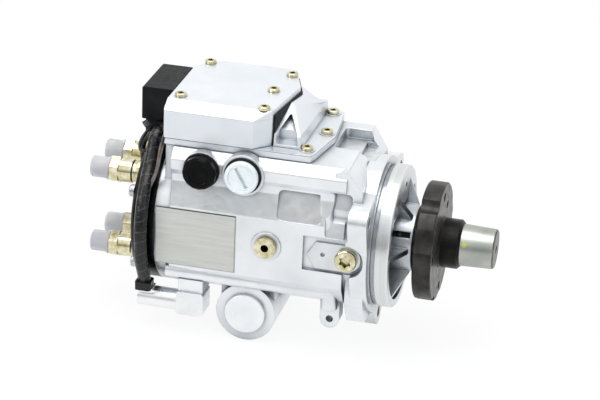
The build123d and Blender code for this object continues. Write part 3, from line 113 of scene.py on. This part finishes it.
def blend(tree, mask, low, high):
    """Colour mix of two sockets by a mask; the node has A, B and Result once per data type."""
    colour_a, colour_b, colour_result = 6, 7, 2
    n = add(tree, "ShaderNodeMix", data_type="RGBA")
    tree.links.new(mask, n.inputs["Factor"])
    tree.links.new(low, n.inputs[colour_a])
    tree.links.new(high, n.inputs[colour_b])
    return n.outputs[colour_result]


def math(tree, operation, a, b=0.0):
    """Math node on sockets or numbers."""
    n = add(tree, "ShaderNodeMath", operation=operation)
    for socket, value in zip(n.inputs, (a, b)):
        if isinstance(value, (int, float)):
            socket.default_value = value
        else:
            tree.links.new(value, socket)
    return n.outputs["Value"]


def bumps(tree, shader, layers, soft_edge_mm=0.5):
    """Stacks bump layers of (height socket, depth in mm) over softly rounded edges."""
    edge = add(tree, "ShaderNodeBevel", {"Radius": soft_edge_mm * MM}, samples=6)
    normal = edge.outputs["Normal"]
    for height, depth_mm in layers:
        normal = add(tree, "ShaderNodeBump", {"Distance": depth_mm * MM},
                     {"Height": height, "Normal": normal}).outputs["Normal"]
    tree.links.new(normal, shader.inputs["Normal"])


def crevice(tree, reach_mm, start, end):
    """1 in the open and 0 in corners and holes, with its change from start to end of openness."""
    n = add(tree, "ShaderNodeAmbientOcclusion", {"Distance": reach_mm * MM}, samples=8)
    return ramp(tree, n.outputs["AO"], 0.0, 1.0, start, end)


def ring_place(tree, place):
    """Place as (x, distance from the shaft axis), so that patterns run round the axis."""
    split = add(tree, "ShaderNodeSeparateXYZ", links={"Vector": place})
    x, y, z = (split.outputs[axis] for axis in "XYZ")
    flat = add(tree, "ShaderNodeCombineXYZ", links={"Y": y, "Z": z}).outputs["Vector"]
    length = add(tree, "ShaderNodeVectorMath", links={0: flat}, operation="LENGTH")
    radius = length.outputs["Value"]
    pair = add(tree, "ShaderNodeCombineXYZ", links={"X": x, "Y": radius}).outputs["Vector"]
    return x, radius, pair


def dress(finish, *names):
    """Gives CAD pieces their finished material."""
    for name in names:
        mesh = parts[name].data
        mesh.materials.clear()
        mesh.materials.append(finish)


# Blasted die-cast aluminium: pale and satin, with a 0.8 mm grain over broad soft unevenness; its
# broad light and dark lumps of colour are painted reflection, painted shade greys its corners, and
# a wider, paler painted shade lies round its bosses and hollows.  The pilot's turned rings are too
# fine to be seen one by one.
PILOT_REAR_X = -6.1
PILOT_INNER_R = 44.0
finish, tree, shader = material("blasted cast aluminium", "#DCE0E3", 0.93, 0.30)
place = object_place(tree)
x, radius, pair = ring_place(tree, place)
front = math(tree, "GREATER_THAN", x, PILOT_REAR_X * MM)
outer = math(tree, "GREATER_THAN", radius, PILOT_INNER_R * MM)
turned = math(tree, "MULTIPLY", front, outer)
# The broad light and dark lumps in this colour are painted reflection.
skin = ramp(tree, noise(tree, place, 34, 4.0), "#DDE1E4", "#F3F5F7", 0.25, 0.75)
clean = ramp(tree, noise(tree, pair, 2.5), "#D2D5D6", "#E2E4E5")
skin = blend(tree, turned, skin, clean)
# Painted shade: grey in the corners and holes, where little light reaches.
painted_corner_shade = ramp(tree, noise(tree, place, 5), "#747A80", "#989EA4")
open_air = crevice(tree, 7, 0.20, 0.80)
# Painted shade: a broad, paler grey round the bosses and in the hollows, reaching 28 mm.
shade = ramp(tree, noise(tree, place, 20), "#A9AFB5", "#B9BEC3")
sheltered = crevice(tree, 28, 0.30, 0.85)
skin = blend(tree, sheltered, shade, skin)
tree.links.new(blend(tree, open_air, painted_corner_shade, skin), shader.inputs["Base Color"])
satin = ramp(tree, noise(tree, place, 6), 0.28, 0.38)
gloss = ramp(tree, noise(tree, pair, 2.0), 0.26, 0.34)
tree.links.new(blend(tree, turned, satin, gloss), shader.inputs["Roughness"])
grain = math(tree, "MULTIPLY", noise(tree, place, 0.8, 1.0), math(tree, "SUBTRACT", 1.0, turned))
rings = math(tree, "MULTIPLY", noise(tree, pair, 1.2, 1.0), turned)
bumps(tree, shader, [(noise(tree, place, 14), 0.45), (grain, 0.010), (rings, 0.012)], 1.0)
dress(finish, "pump_housing")

# ---- Drive shaft, hub and keys -------------------------------------------------------------
# The shaft is case-hardened steel, ground between centres, so fine rings run round it, and it
# is greased for storage.  The hub is turned steel, its disc phosphated, its boss blackened.
finish, tree, shader = material("ground hardened steel", "#ABB0A9", 1.0, 0.30)
place = object_place(tree)
x, radius, pair = ring_place(tree, place)
steel = ramp(tree, noise(tree, place, 18), "#9EA39D", "#B8BCB5")
# Painted shade: nearly black in the key slots and holes.
inside = crevice(tree, 6, 0.10, 0.55)
painted_hollow_shade = ramp(tree, noise(tree, place, 3), "#2B2C2A", "#3A3B38")
steel = blend(tree, inside, painted_hollow_shade, steel)
# The last millimetre is darker, with a ragged edge.
RAGGED_TIP = 2.0
SHAFT_END_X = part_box("drive_shaft")[1][0]
tip = math(tree, "ADD", x, math(tree, "MULTIPLY", noise(tree, place, 4), RAGGED_TIP * MM))
darkened_tip = math(tree, "GREATER_THAN", tip, SHAFT_END_X)
steel = blend(tree, darkened_tip, steel, ramp(tree, noise(tree, place, 2), "#4A4B48", "#83857F"))
# A dab of yellow-green marking paint, 5 mm across, beside the boss of the hub.
DAB_PLACE = (0.0545, -0.0135, 0.0065)
DAB_WIDTH = 5.0
spot = add(tree, "ShaderNodeVectorMath", {1: DAB_PLACE}, {0: place}, operation="DISTANCE")
ragged = math(tree, "ADD", math(tree, "MULTIPLY", spot.outputs["Value"], 1000 / DAB_WIDTH),
              math(tree, "MULTIPLY", noise(tree, place, 2.5), 0.8))
dab = ramp(tree, ragged, 1.0, 0.0, 0.60, 0.90)
paint = ramp(tree, noise(tree, place, 1.5), "#A7AE3C", "#C9CB6A")
tree.links.new(blend(tree, dab, steel, paint), shader.inputs["Base Color"])
tree.links.new(math(tree, "SUBTRACT", 1.0, dab), shader.inputs["Metallic"])
tree.links.new(ramp(tree, noise(tree, pair, 3.0), 0.32, 0.42), shader.inputs["Roughness"])
bumps(tree, shader, [(noise(tree, pair, 1.5, 1.0), 0.010)], 0.4)
dress(finish, "drive_shaft", "hub_key", "rotor_key")

HUB_FACE_X = 36.0
HUB_BOSS_R = 19.0
finish, tree, shader = material("phosphated and blackened steel", "#3A3735", 0.80, 0.42)
place = object_place(tree)
x, radius, pair = ring_place(tree, place)
front = math(tree, "GREATER_THAN", x, HUB_FACE_X * MM)
inner = math(tree, "LESS_THAN", radius, HUB_BOSS_R * MM)
boss = math(tree, "MULTIPLY", front, inner)
rim = ramp(tree, noise(tree, place, 11, 6.0), "#252525", "#454341")
face = ramp(tree, noise(tree, pair, 2.0), "#4E4C4B", "#605E5C")
black = ramp(tree, noise(tree, place, 6), "#121212", "#21201F")
shade = blend(tree, boss, blend(tree, front, rim, face), black)
tree.links.new(shade, shader.inputs["Base Color"])
tree.links.new(ramp(tree, noise(tree, place, 5), 0.32, 0.48), shader.inputs["Roughness"])
bumps(tree, shader, [(noise(tree, pair, 1.2, 1.0), 0.02), (noise(tree, place, 2), 0.03)], 0.8)
dress(finish, "drive_hub")

# ---- Bearing, seals and supply pump --------------------------------------------------------
# The shaft turns in a leaded-bronze bush behind two lip seals of nitrile rubber.  The vane
# pump, cam ring and rollers behind them are hardened steel, turned, ground or lapped.


def turned_metal(name, low, high, gloss, ring_mm, depth_mm, soft_edge_mm=0.4):
    """Metal turned or ground round the shaft axis, in two shades and two roughnesses."""
    finish, tree, shader = material(name, low, 1.0, gloss[0])
    place = object_place(tree)
    pair = ring_place(tree, place)[2]
    shade = math(tree, "ADD", math(tree, "MULTIPLY", noise(tree, pair, ring_mm * 2), 0.4),
                 math(tree, "MULTIPLY", noise(tree, place, 9), 0.6))
    tree.links.new(ramp(tree, shade, low, high), shader.inputs["Base Color"])
    tree.links.new(ramp(tree, noise(tree, place, 5), *gloss), shader.inputs["Roughness"])
    bumps(tree, shader, [(noise(tree, pair, ring_mm, 1.0), depth_mm)], soft_edge_mm)
    return finish


# Warm brown metal with faint rings.
dress(turned_metal("leaded bronze", "#94693A", "#BC9058", (0.28, 0.42), 0.6, 0.04),
      "front_bearing_bush")

# Grey steel with clear tool rings.
dress(turned_metal("turned steel", "#94979A", "#B8BBBD", (0.26, 0.42), 0.8, 0.06),
      "vane_rotor", "pump_liner_ring", "pump_rear_plate", "pump_front_plate", "pump_plate_screws",
      "increment_wheel", "sensor_ring", "distributor_sleeve", "timing_piston", "roller_shoe_a",
      "roller_shoe_b")

# Bright steel, lapped nearly to a mirror.
dress(turned_metal("lapped bearing steel", "#B6B9BB", "#CFD1D3", (0.10, 0.20), 0.5, 0.01),
      "pump_vanes", "cam_ring", "timing_ball_pin", "distributor_rotor", "valve_needle",
      "plunger_a", "plunger_b", "roller_a", "roller_b", "delivery_valve_1", "delivery_valve_2",
      "delivery_valve_3", "delivery_valve_4")

# Dark grey drawn wire.
dress(turned_metal("drawn spring steel", "#67696B", "#8F9193", (0.24, 0.40), 0.4, 0.02),
      "valve_springs", "timing_spring")


def plain_finish(name, low, high, metallic, gloss, lump_mm, grain_mm, depth_mm, soft_edge_mm=0.5):
    """Finish without a direction: two shades in lumps, two roughnesses and a fine grain."""
    finish, tree, shader = material(name, low, metallic, gloss[0])
    place = object_place(tree)
    shade = ramp(tree, noise(tree, place, lump_mm, 5.0), low, high)
    tree.links.new(shade, shader.inputs["Base Color"])
    tree.links.new(ramp(tree, noise(tree, place, lump_mm / 2), *gloss), shader.inputs["Roughness"])
    bumps(tree, shader, [(noise(tree, place, grain_mm, 1.0), depth_mm)], soft_edge_mm)
    return finish, tree, shader


# Dull black rubber with a dusty bloom.
rubber, tree, shader = plain_finish("nitrile rubber", "#0C0C0D", "#19191B", 0.0, (0.5, 0.7),
                                    6, 0.5, 0.06)
shader.inputs["Specular IOR Level"].default_value = 0.2
dress(rubber, "shaft_seals", "control_unit_gasket")

# ---- Distributor head ----------------------------------------------------------------------
# The head is hardened steel with a black oxide finish, held by four screws.  The solenoid
# sunk in its middle has a bright zinc body, and a short lead clips on to it.

# Oiled black oxide: nearly black, with a slow sheen and rings from facing.
dress(turned_metal("black oxide steel", "#111113", "#29292D", (0.26, 0.42), 0.9, 0.05, 0.8),
      "distributor_head")

# Blue-white zinc with a soft mottle.
dress(plain_finish("bright zinc plate", "#A6ABB1", "#CDD1D5", 1.0, (0.20, 0.36), 5, 0.8, 0.01)[0],
      "head_screws", "pressure_solenoid")

# Bare rolled steel: even and bright.
dress(plain_finish("bare rolled steel", "#D0D5D8", "#E0E4E6", 1.0, (0.28, 0.36), 16, 3.0, 0.004)[0],
      "lock_plate")

# ---- Delivery-valve holders, screws and caps -----------------------------------------------
# Holders and screws are steel with yellow chromate over zinc, straw-coloured, with painted shade
# darkening it to olive in the corners.  The outlets are closed for transport by push-on caps of
# clear polyethylene.

# Yellow chromate: pale gold where it faces the light, and painted shade in olive and brown in its
# corners.
finish, tree, shader = material("yellow chromated zinc", "#C4BCA0", 1.0, 0.26)
place = object_place(tree)
straw = ramp(tree, noise(tree, place, 5, 4.0), "#C0B585", "#EFEBD2")
# Painted shade: dark olive and brown in the corners.
olive = ramp(tree, noise(tree, place, 2), "#544C2A", "#7A7146")
open_air = crevice(tree, 3, 0.35, 0.85)
tree.links.new(blend(tree, open_air, olive, straw), shader.inputs["Base Color"])
tree.links.new(ramp(tree, noise(tree, place, 3), 0.16, 0.28), shader.inputs["Roughness"])
bumps(tree, shader, [(noise(tree, place, 1.5), 0.015)], 0.4)
dress(finish, "delivery_valve_holder_1", "delivery_valve_holder_2", "delivery_valve_holder_3",
      "delivery_valve_holder_4", "control_unit_screws", "return_screw", "lock_screw")

# Clear polyethylene: milky and half see-through, so the nipples show as grey shades inside.
finish, tree, shader = plain_finish("clear polyethylene", "#E6E8EE", "#F5F6F9", 0.0, (0.36, 0.46),
                                    14, 6.0, 0.05, 0.8)
shader.inputs["Transmission Weight"].default_value = 0.62
shader.inputs["IOR"].default_value = 1.3
dress(finish, "outlet_caps")

# ---- Timing device -------------------------------------------------------------------------
# Two turned aluminium plugs close the cross bore of the timing piston.  The solenoid valve
# beside it is a can of drawn aluminium in a cast bracket.

# Clean turned aluminium, brighter than the casting round it.
dress(plain_finish("machined aluminium", "#E4E8EA", "#F5F7F8", 0.9, (0.26, 0.34),
                   20, 3.0, 0.005, 0.8)[0],
      "timer_plug_near", "timer_plug_far")

# Drawn aluminium can: smooth, and a little greyer.
dress(plain_finish("drawn aluminium", "#E6E9EB", "#F6F8F9", 0.95, (0.26, 0.34),
                   20, 4.0, 0.005, 0.3)[0],
      "timing_solenoid")

# ---- Control unit --------------------------------------------------------------------------
# Plate, tray and lid are die-cast aluminium with a fine tumbled finish, whiter than the pump
# body, and the dark seal shows only before the slanted front.  The board inside is green.
finish, tree, shader = material("tumbled cast aluminium", "#E6E7EE", 0.80, 0.38)
place = object_place(tree)
skin = ramp(tree, noise(tree, place, 40, 4.0), "#DBE0E5", "#E8ECF1", 0.25, 0.75)
# Painted shade: grey in the corners and hollows.
painted_corner_shade = ramp(tree, noise(tree, place, 4), "#8B9096", "#A5AAB0")
open_air = crevice(tree, 5, 0.30, 0.80)
skin = blend(tree, open_air, painted_corner_shade, skin)
# Painted shade along the seams under the plate and under the tray, on upright faces only.
PLATE_FOOT_Z = 64.0
TRAY_FOOT_Z = 69.0
JOINT_HALF = 0.45
STEEPEST_NORMAL_Z = 0.4
height = add(tree, "ShaderNodeSeparateXYZ", links={"Vector": place}).outputs["Z"]
facing = add(tree, "ShaderNodeNewGeometry").outputs["Normal"]
facing_z = add(tree, "ShaderNodeSeparateXYZ", links={"Vector": facing}).outputs["Z"]
upright = math(tree, "LESS_THAN", math(tree, "ABSOLUTE", facing_z), STEEPEST_NORMAL_Z)
seam_shade_mask = 0.0
for joint_z in (PLATE_FOOT_Z, TRAY_FOOT_Z):
    off = math(tree, "ABSOLUTE", math(tree, "SUBTRACT", height, joint_z * MM))
    seam_shade_mask = math(tree, "MAXIMUM", seam_shade_mask, math(tree, "LESS_THAN", off, JOINT_HALF * MM))
seam_shade_mask = math(tree, "MULTIPLY", seam_shade_mask, upright)
seam_shade_colour = ramp(tree, noise(tree, place, 12), "#5B6066", "#8D9298")
tree.links.new(blend(tree, seam_shade_mask, skin, seam_shade_colour), shader.inputs["Base Color"])
tree.links.new(ramp(tree, noise(tree, place, 8), 0.33, 0.45), shader.inputs["Roughness"])
bumps(tree, shader, [(noise(tree, place, 14), 0.15), (noise(tree, place, 0.8), 0.010)], 0.9)
dress(finish, "control_unit_body", "control_unit_cover", "control_base_plate")

# Green solder resist over glass fibre.
dress(plain_finish("glass-fibre laminate", "#1B5033", "#266541", 0.0, (0.25, 0.4), 5, 0.8, 0.02)[0],
      "control_unit_board")

# ---- Connector and cables ------------------------------------------------------------------
# The plug housing is glass-filled nylon with a spark-eroded skin, glossier on its worn edges.
# The cables are wound in cloth tape, each turn lapping half over the last.
nylon, tree, shader = plain_finish("glass-filled nylon", "#08090A", "#151619", 0.0, (0.36, 0.5),
                                   9, 0.8, 0.05, 0.6)
shader.inputs["Specular IOR Level"].default_value = 0.14
dress(nylon, "connector", "angle_sensor")

# Lapped tape: the height runs up over each turn and drops at its edge, round the shaft axis.
TAPE_PITCH = 8.0
TAPE_BEND_R = 60.0
TAPE_LEAN = 45.0  # turns per metre along X
SELVAGE_START = 0.88  # of one turn
finish, tree, shader = material("wound cloth tape", "#0B0B0C", 0.0, 0.34)
place = object_place(tree)
split = add(tree, "ShaderNodeSeparateXYZ", links={"Vector": place})
turn = math(tree, "ARCTAN2", split.outputs["Z"], split.outputs["Y"])
along = math(tree, "MULTIPLY", turn, TAPE_BEND_R / TAPE_PITCH)
lean = math(tree, "MULTIPLY", split.outputs["X"], TAPE_LEAN)
wobble = math(tree, "MULTIPLY", noise(tree, place, 14), 0.9)
laps = math(tree, "FRACT", math(tree, "ADD", math(tree, "ADD", along, lean), wobble))
cloth = ramp(tree, noise(tree, place, 5, 5.0), "#030304", "#101012")
selvage = ramp(tree, noise(tree, place, 2), "#232325", "#3A3A3D")
at_edge = math(tree, "GREATER_THAN", laps, SELVAGE_START)
tree.links.new(blend(tree, at_edge, cloth, selvage), shader.inputs["Base Color"])
tree.links.new(ramp(tree, noise(tree, place, 4), 0.12, 0.30), shader.inputs["Roughness"])
shader.inputs["Specular IOR Level"].default_value = 0.45
creases = noise(tree, place, 4, 5.0)
weave = noise(tree, place, 0.5)
bumps(tree, shader, [(laps, 0.9), (creases, 0.7), (weave, 0.05)], 0.3)
dress(finish, "timing_harness", "solenoid_lead")


def strand(name, route_mm, half_mm, flat_mm, covering):
    """Short lead, or a ribbon where flat_mm is above 0, along a smooth route."""
    line = bpy.data.curves.new(name, "CURVE")
    line.dimensions = "3D"
    line.resolution_u = 6
    line.bevel_depth = half_mm * MM
    line.bevel_resolution = 3
    line.extrude = flat_mm * MM
    line.use_fill_caps = True
    spline = line.splines.new("NURBS")
    spline.points.add(len(route_mm) - 1)
    for point, place_mm in zip(spline.points, route_mm):
        point.co = (*[v * MM for v in place_mm], 1)
    spline.order_u = 3
    spline.use_endpoint_u = True
    piece = bpy.data.objects.new(name, line)
    bpy.context.scene.collection.objects.link(piece)
    line.materials.append(covering)
    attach(piece, "housing")


# Three leads and three loose tape ends where the harness leaves the neck of the plug.  Two of
# the leads are bare brown-grey vinyl with a low sheen, the third is taped.
tape = finish
sheath = plain_finish("vinyl lead sheath", "#5A504C", "#7B716C", 0.0, (0.35, 0.5),
                      3, 0.5, 0.03, 0.2)[0]
strand("plug_lead_a", [(-164, -18, 64), (-160, -30, 66), (-159.3, -42, 61), (-159.3, -46, 51),
                       (-161, -47.5, 42), (-164, -47.5, 36)], 0.75, 0, sheath)
strand("plug_lead_b", [(-163, -19, 62), (-158.5, -34, 63), (-158, -43.5, 57), (-158.6, -46.5, 48),
                       (-161, -48, 39), (-164, -48.5, 33)], 0.75, 0, sheath)
strand("plug_lead_c", [(-176, -14, 62), (-180, -19, 57), (-179.5, -26, 51), (-174, -31, 51),
                       (-170, -30, 56)], 1.1, 0, tape)
strand("tape_end_a", [(-167, -20, 67), (-164, -26, 70), (-160, -30, 70), (-158, -35, 66)],
       0.15, 2.2, tape)
strand("tape_end_b", [(-171, -22, 66), (-175, -24, 69), (-177, -21, 71)],
       0.15, 2.0, tape)
strand("tape_end_c", [(-166, -30, 62), (-161, -36, 64), (-158.5, -42, 68)],
       0.15, 1.6, tape)

# ---- Ports and fittings --------------------------------------------------------------------
# The fuel inlet is closed by a white transport plug, and the valve beside it by a black screw
# cap with flats for the fingers.  The cap sits on a black sealing ring, and the plug on a black
# ring that shows as a dark crescent above it.


def spun(name, rings, node, steps, finish):
    """Rings round the axis of a port piece, from closed outlines of (radius, depth) in mm."""
    same_place = 1e-6
    low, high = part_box(node)
    x, z, face = (low[0] + high[0]) / 2, (low[2] + high[2]) / 2, low[1]
    form = bmesh.new()
    for outline in rings:
        corners = [form.verts.new((x + r * MM, face + y * MM, z)) for r, y in outline]
        for a, b in zip(corners, corners[1:] + corners[:1]):
            form.edges.new((a, b))
    bmesh.ops.spin(form, geom=form.verts[:] + form.edges[:], cent=(x, 0, z), axis=(0, 1, 0),
                   angle=tau, steps=steps, use_merge=True)
    bmesh.ops.remove_doubles(form, verts=form.verts, dist=same_place)
    bmesh.ops.recalc_face_normals(form, faces=form.faces)
    mesh = bpy.data.meshes.new(name)
    form.to_mesh(mesh)
    form.free()
    piece = bpy.data.objects.new(name, mesh)
    bpy.context.scene.collection.objects.link(piece)
    mesh.materials.append(finish)
    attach(piece, "housing")


# Milky plastic that lets a little light through.
finish, tree, shader = plain_finish("milky polyethylene", "#D3DDE2", "#E4EBEE", 0.0, (0.26, 0.38),
                                    8, 2.0, 0.10, 0.7)
shader.inputs["Subsurface Weight"].default_value = 0.2
shader.inputs["Subsurface Radius"].default_value = (0.003, 0.003, 0.003)
dress(finish, "inlet_plug")
PLUG_RIM = [(9.3, 0.3), (9.3, -0.5), (9.8, -0.9), (11.2, -0.9), (11.9, -0.3), (11.9, 2.2),
            (11.2, 2.2), (11.2, 0.3)]
spun("inlet_plug_rim", [PLUG_RIM], "inlet_plug", 72, finish)
# A black ring round the foot of the plug, which shows as a dark crescent above it.
RING_OUTLINE = [(11.4, 3.4), (12.6, 3.4), (13.2, 4.0), (13.2, 4.6), (12.6, 5.1), (11.4, 5.1)]
spun("inlet_dark_ring", [RING_OUTLINE], "inlet_plug", 72, rubber)

# Glossy black moulding with sixteen flats.
black_nylon, tree, shader = plain_finish("moulded black nylon", "#040405", "#0C0D0E", 0.0,
                                         (0.12, 0.22), 7, 1.2, 0.03, 0.7)
shader.inputs["Specular IOR Level"].default_value = 0.08
dress(black_nylon, "regulator_cap")
CAP_GRIP = [(7.2, 0.2), (7.2, -0.4), (7.8, -0.8), (10.4, -0.8), (11.9, 0.9), (12.1, 5.4),
            (11.5, 6.2), (10.9, 6.2), (10.9, 0.2)]
spun("regulator_cap_grip", [CAP_GRIP], "regulator_cap", 16, black_nylon)
RING_OUTLINE = [(11.0, 6.1), (12.4, 6.1), (12.9, 6.6), (12.9, 7.2), (12.4, 7.6), (11.0, 7.6)]
spun("regulator_seal", [RING_OUTLINE], "regulator_cap", 72, rubber)

# ---- Rating plate --------------------------------------------------------------------------
# A thin aluminium foil plate, left bare, bonded flat to the pad of the casting.  Its edge is
# pressed down, and painted shade greys it at the sides and below, with a painted shadow nearly
# black along the top.
PLATE_EDGE = 0.5
low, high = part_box("rating_plate")
finish, tree, shader = material("satin aluminium foil", "#C2C4C0", 0.6, 0.42)
place = object_place(tree)
split = add(tree, "ShaderNodeSeparateXYZ", links={"Vector": place})
inside = 1.0
for axis, k in (("X", 0), ("Z", 2)):
    off = math(tree, "SUBTRACT", split.outputs[axis], (low[k] + high[k]) / 2)
    half = (high[k] - low[k]) / 2 - PLATE_EDGE * MM
    near = math(tree, "LESS_THAN", math(tree, "ABSOLUTE", off), half)
    inside = math(tree, "MULTIPLY", near, inside)
top = math(tree, "GREATER_THAN", split.outputs["Z"], high[2] - PLATE_EDGE * MM)
BRUSHING = (0.08, 1, 1)  # lumps stretched along X
lengthwise = add(tree, "ShaderNodeMapping", {"Scale": BRUSHING}, {"Vector": place})
brushed = lengthwise.outputs["Vector"]
foil = ramp(tree, noise(tree, brushed, 2.5), "#C0C2BE", "#CCCDC9")
# Painted shade on the border, and a painted shadow nearly black along its top.
edge = blend(tree, top, ramp(tree, noise(tree, place, 3), "#9A9B97", "#ABACA8"),
             ramp(tree, noise(tree, place, 6), "#3A3B3A", "#565755"))
tree.links.new(blend(tree, inside, edge, foil), shader.inputs["Base Color"])
tree.links.new(ramp(tree, noise(tree, place, 6), 0.38, 0.48), shader.inputs["Roughness"])
bumps(tree, shader, [(inside, 0.15), (noise(tree, brushed, 2.0), 0.01)], 0.2)
dress(finish, "rating_plate")

# ---- Floor, light and camera ---------------------------------------------------------------
# A white sheet under and behind the pump, soft overhead light, and a long lens from the
# port side, a little above and in front of the pump.
FLOOR_GAP = 0.5
FLOOR_HALF = 6.0
FLOOR_GLOW = 0.90
floor_z = cad_box[0][2] - FLOOR_GAP * MM
mesh = bpy.data.meshes.new("floor_sheet")
sheet = bmesh.new()
bmesh.ops.create_grid(sheet, x_segments=1, y_segments=1, size=FLOOR_HALF)
bmesh.ops.translate(sheet, verts=sheet.verts, vec=(0, 0, floor_z))
sheet.to_mesh(mesh)
sheet.free()
floor = bpy.data.objects.new("floor_sheet", mesh)
bpy.context.scene.collection.objects.link(floor)
# Matt white paper that glows for the camera and mirrors, so that it shows no edge.
paper, tree, shader = material("white paper sheet", "#F4F5F7", 0.0, 0.8)
mesh.materials.append(paper)
path = add(tree, "ShaderNodeLightPath")
glow = add(tree, "ShaderNodeEmission", {"Color": (1, 1, 1, 1), "Strength": 1.0})
seen = path.outputs["Is Camera Ray"]
for kind in ("Is Glossy Ray", "Is Transmission Ray"):
    seen = math(tree, "MAXIMUM", seen, path.outputs[kind])
seen = math(tree, "MULTIPLY", seen, FLOOR_GLOW)
mix = add(tree, "ShaderNodeMixShader", links={0: seen, 1: shader.outputs[0], 2: glow.outputs[0]})
tree.links.new(mix.outputs[0], tree.nodes["Material Output"].inputs["Surface"])

# White to the camera, and to mirrors that face the far side; to everything else a studio that
# is bright above and dim at the sides.
world = bpy.data.worlds.new("studio")
bpy.context.scene.world = world
world.use_nodes = True
tree = world.node_tree
ray = add(tree, "ShaderNodeTexCoord").outputs["Generated"]
split = add(tree, "ShaderNodeSeparateXYZ", links={"Vector": ray})
room = ramp(tree, split.outputs["Z"], 0.12, 0.95, 0.02, 0.50)
path = add(tree, "ShaderNodeLightPath")
mirrored = math(tree, "MAXIMUM", path.outputs["Is Glossy Ray"], path.outputs["Is Transmission Ray"])
backdrop = ramp(tree, split.outputs["Y"], 0.0, 1.0, 0.05, 0.60)
mirrored = math(tree, "MULTIPLY", mirrored, backdrop)
seen = math(tree, "MAXIMUM", path.outputs["Is Camera Ray"], mirrored)
white = add(tree, "ShaderNodeValue")
white.outputs[0].default_value = 1.0
sky = blend(tree, seen, room, white.outputs[0])
tree.links.new(sky, tree.nodes["Background"].inputs["Color"])


def softbox(name, place_m, aim_m, width, height, watts):
    """Rectangular studio light aimed at a point."""
    lamp = bpy.data.lights.new(name, "AREA")
    lamp.shape = "RECTANGLE"
    lamp.size, lamp.size_y, lamp.energy = width, height, watts
    box = bpy.data.objects.new(name, lamp)
    box.location = place_m
    box.rotation_mode = "QUATERNION"
    box.rotation_quaternion = (Vector(aim_m) - Vector(place_m)).to_track_quat("-Z", "Y")
    bpy.context.scene.collection.objects.link(box)


softbox("top_light", (-0.10, -0.15, 0.95), (-0.06, 0, 0), 0.9, 0.7, 6.0)
softbox("left_light", (-0.80, -0.60, 0.50), (-0.08, 0, 0), 0.28, 0.42, 2.2)
softbox("right_light", (0.80, -0.55, 0.40), (0.0, 0, 0), 0.35, 0.5, 0.6)

azimuth, elevation, roll = radians(13.0), radians(24.0), radians(2.5)
across = Vector((cos(azimuth), sin(azimuth), 0))
backward = Vector((sin(azimuth) * cos(elevation), -cos(azimuth) * cos(elevation), sin(elevation)))
upward = backward.cross(across)
right = across * cos(roll) + upward * sin(roll)
upward = upward * cos(roll) - across * sin(roll)
lens = bpy.data.cameras.new("camera")
lens.sensor_width = 36.0
lens.lens = 135.7
camera = bpy.data.objects.new("camera", lens)
camera.matrix_world = Matrix((
    (right[0], upward[0], backward[0], 0), (right[1], upward[1], backward[1], 0),
    (right[2], upward[2], backward[2], 0), (0, 0, 0, 1),
))
CAMERA_AWAY, SHIFT_LEFT, SHIFT_UP = 1.6, 0.06471, 0.02454
camera.location = backward * CAMERA_AWAY - right * SHIFT_LEFT + upward * SHIFT_UP
lens.clip_start, lens.clip_end = 0.1, 30.0
bpy.context.scene.collection.objects.link(camera)
bpy.context.scene.camera = camera
bpy.context.scene.view_settings.view_transform = "Standard"
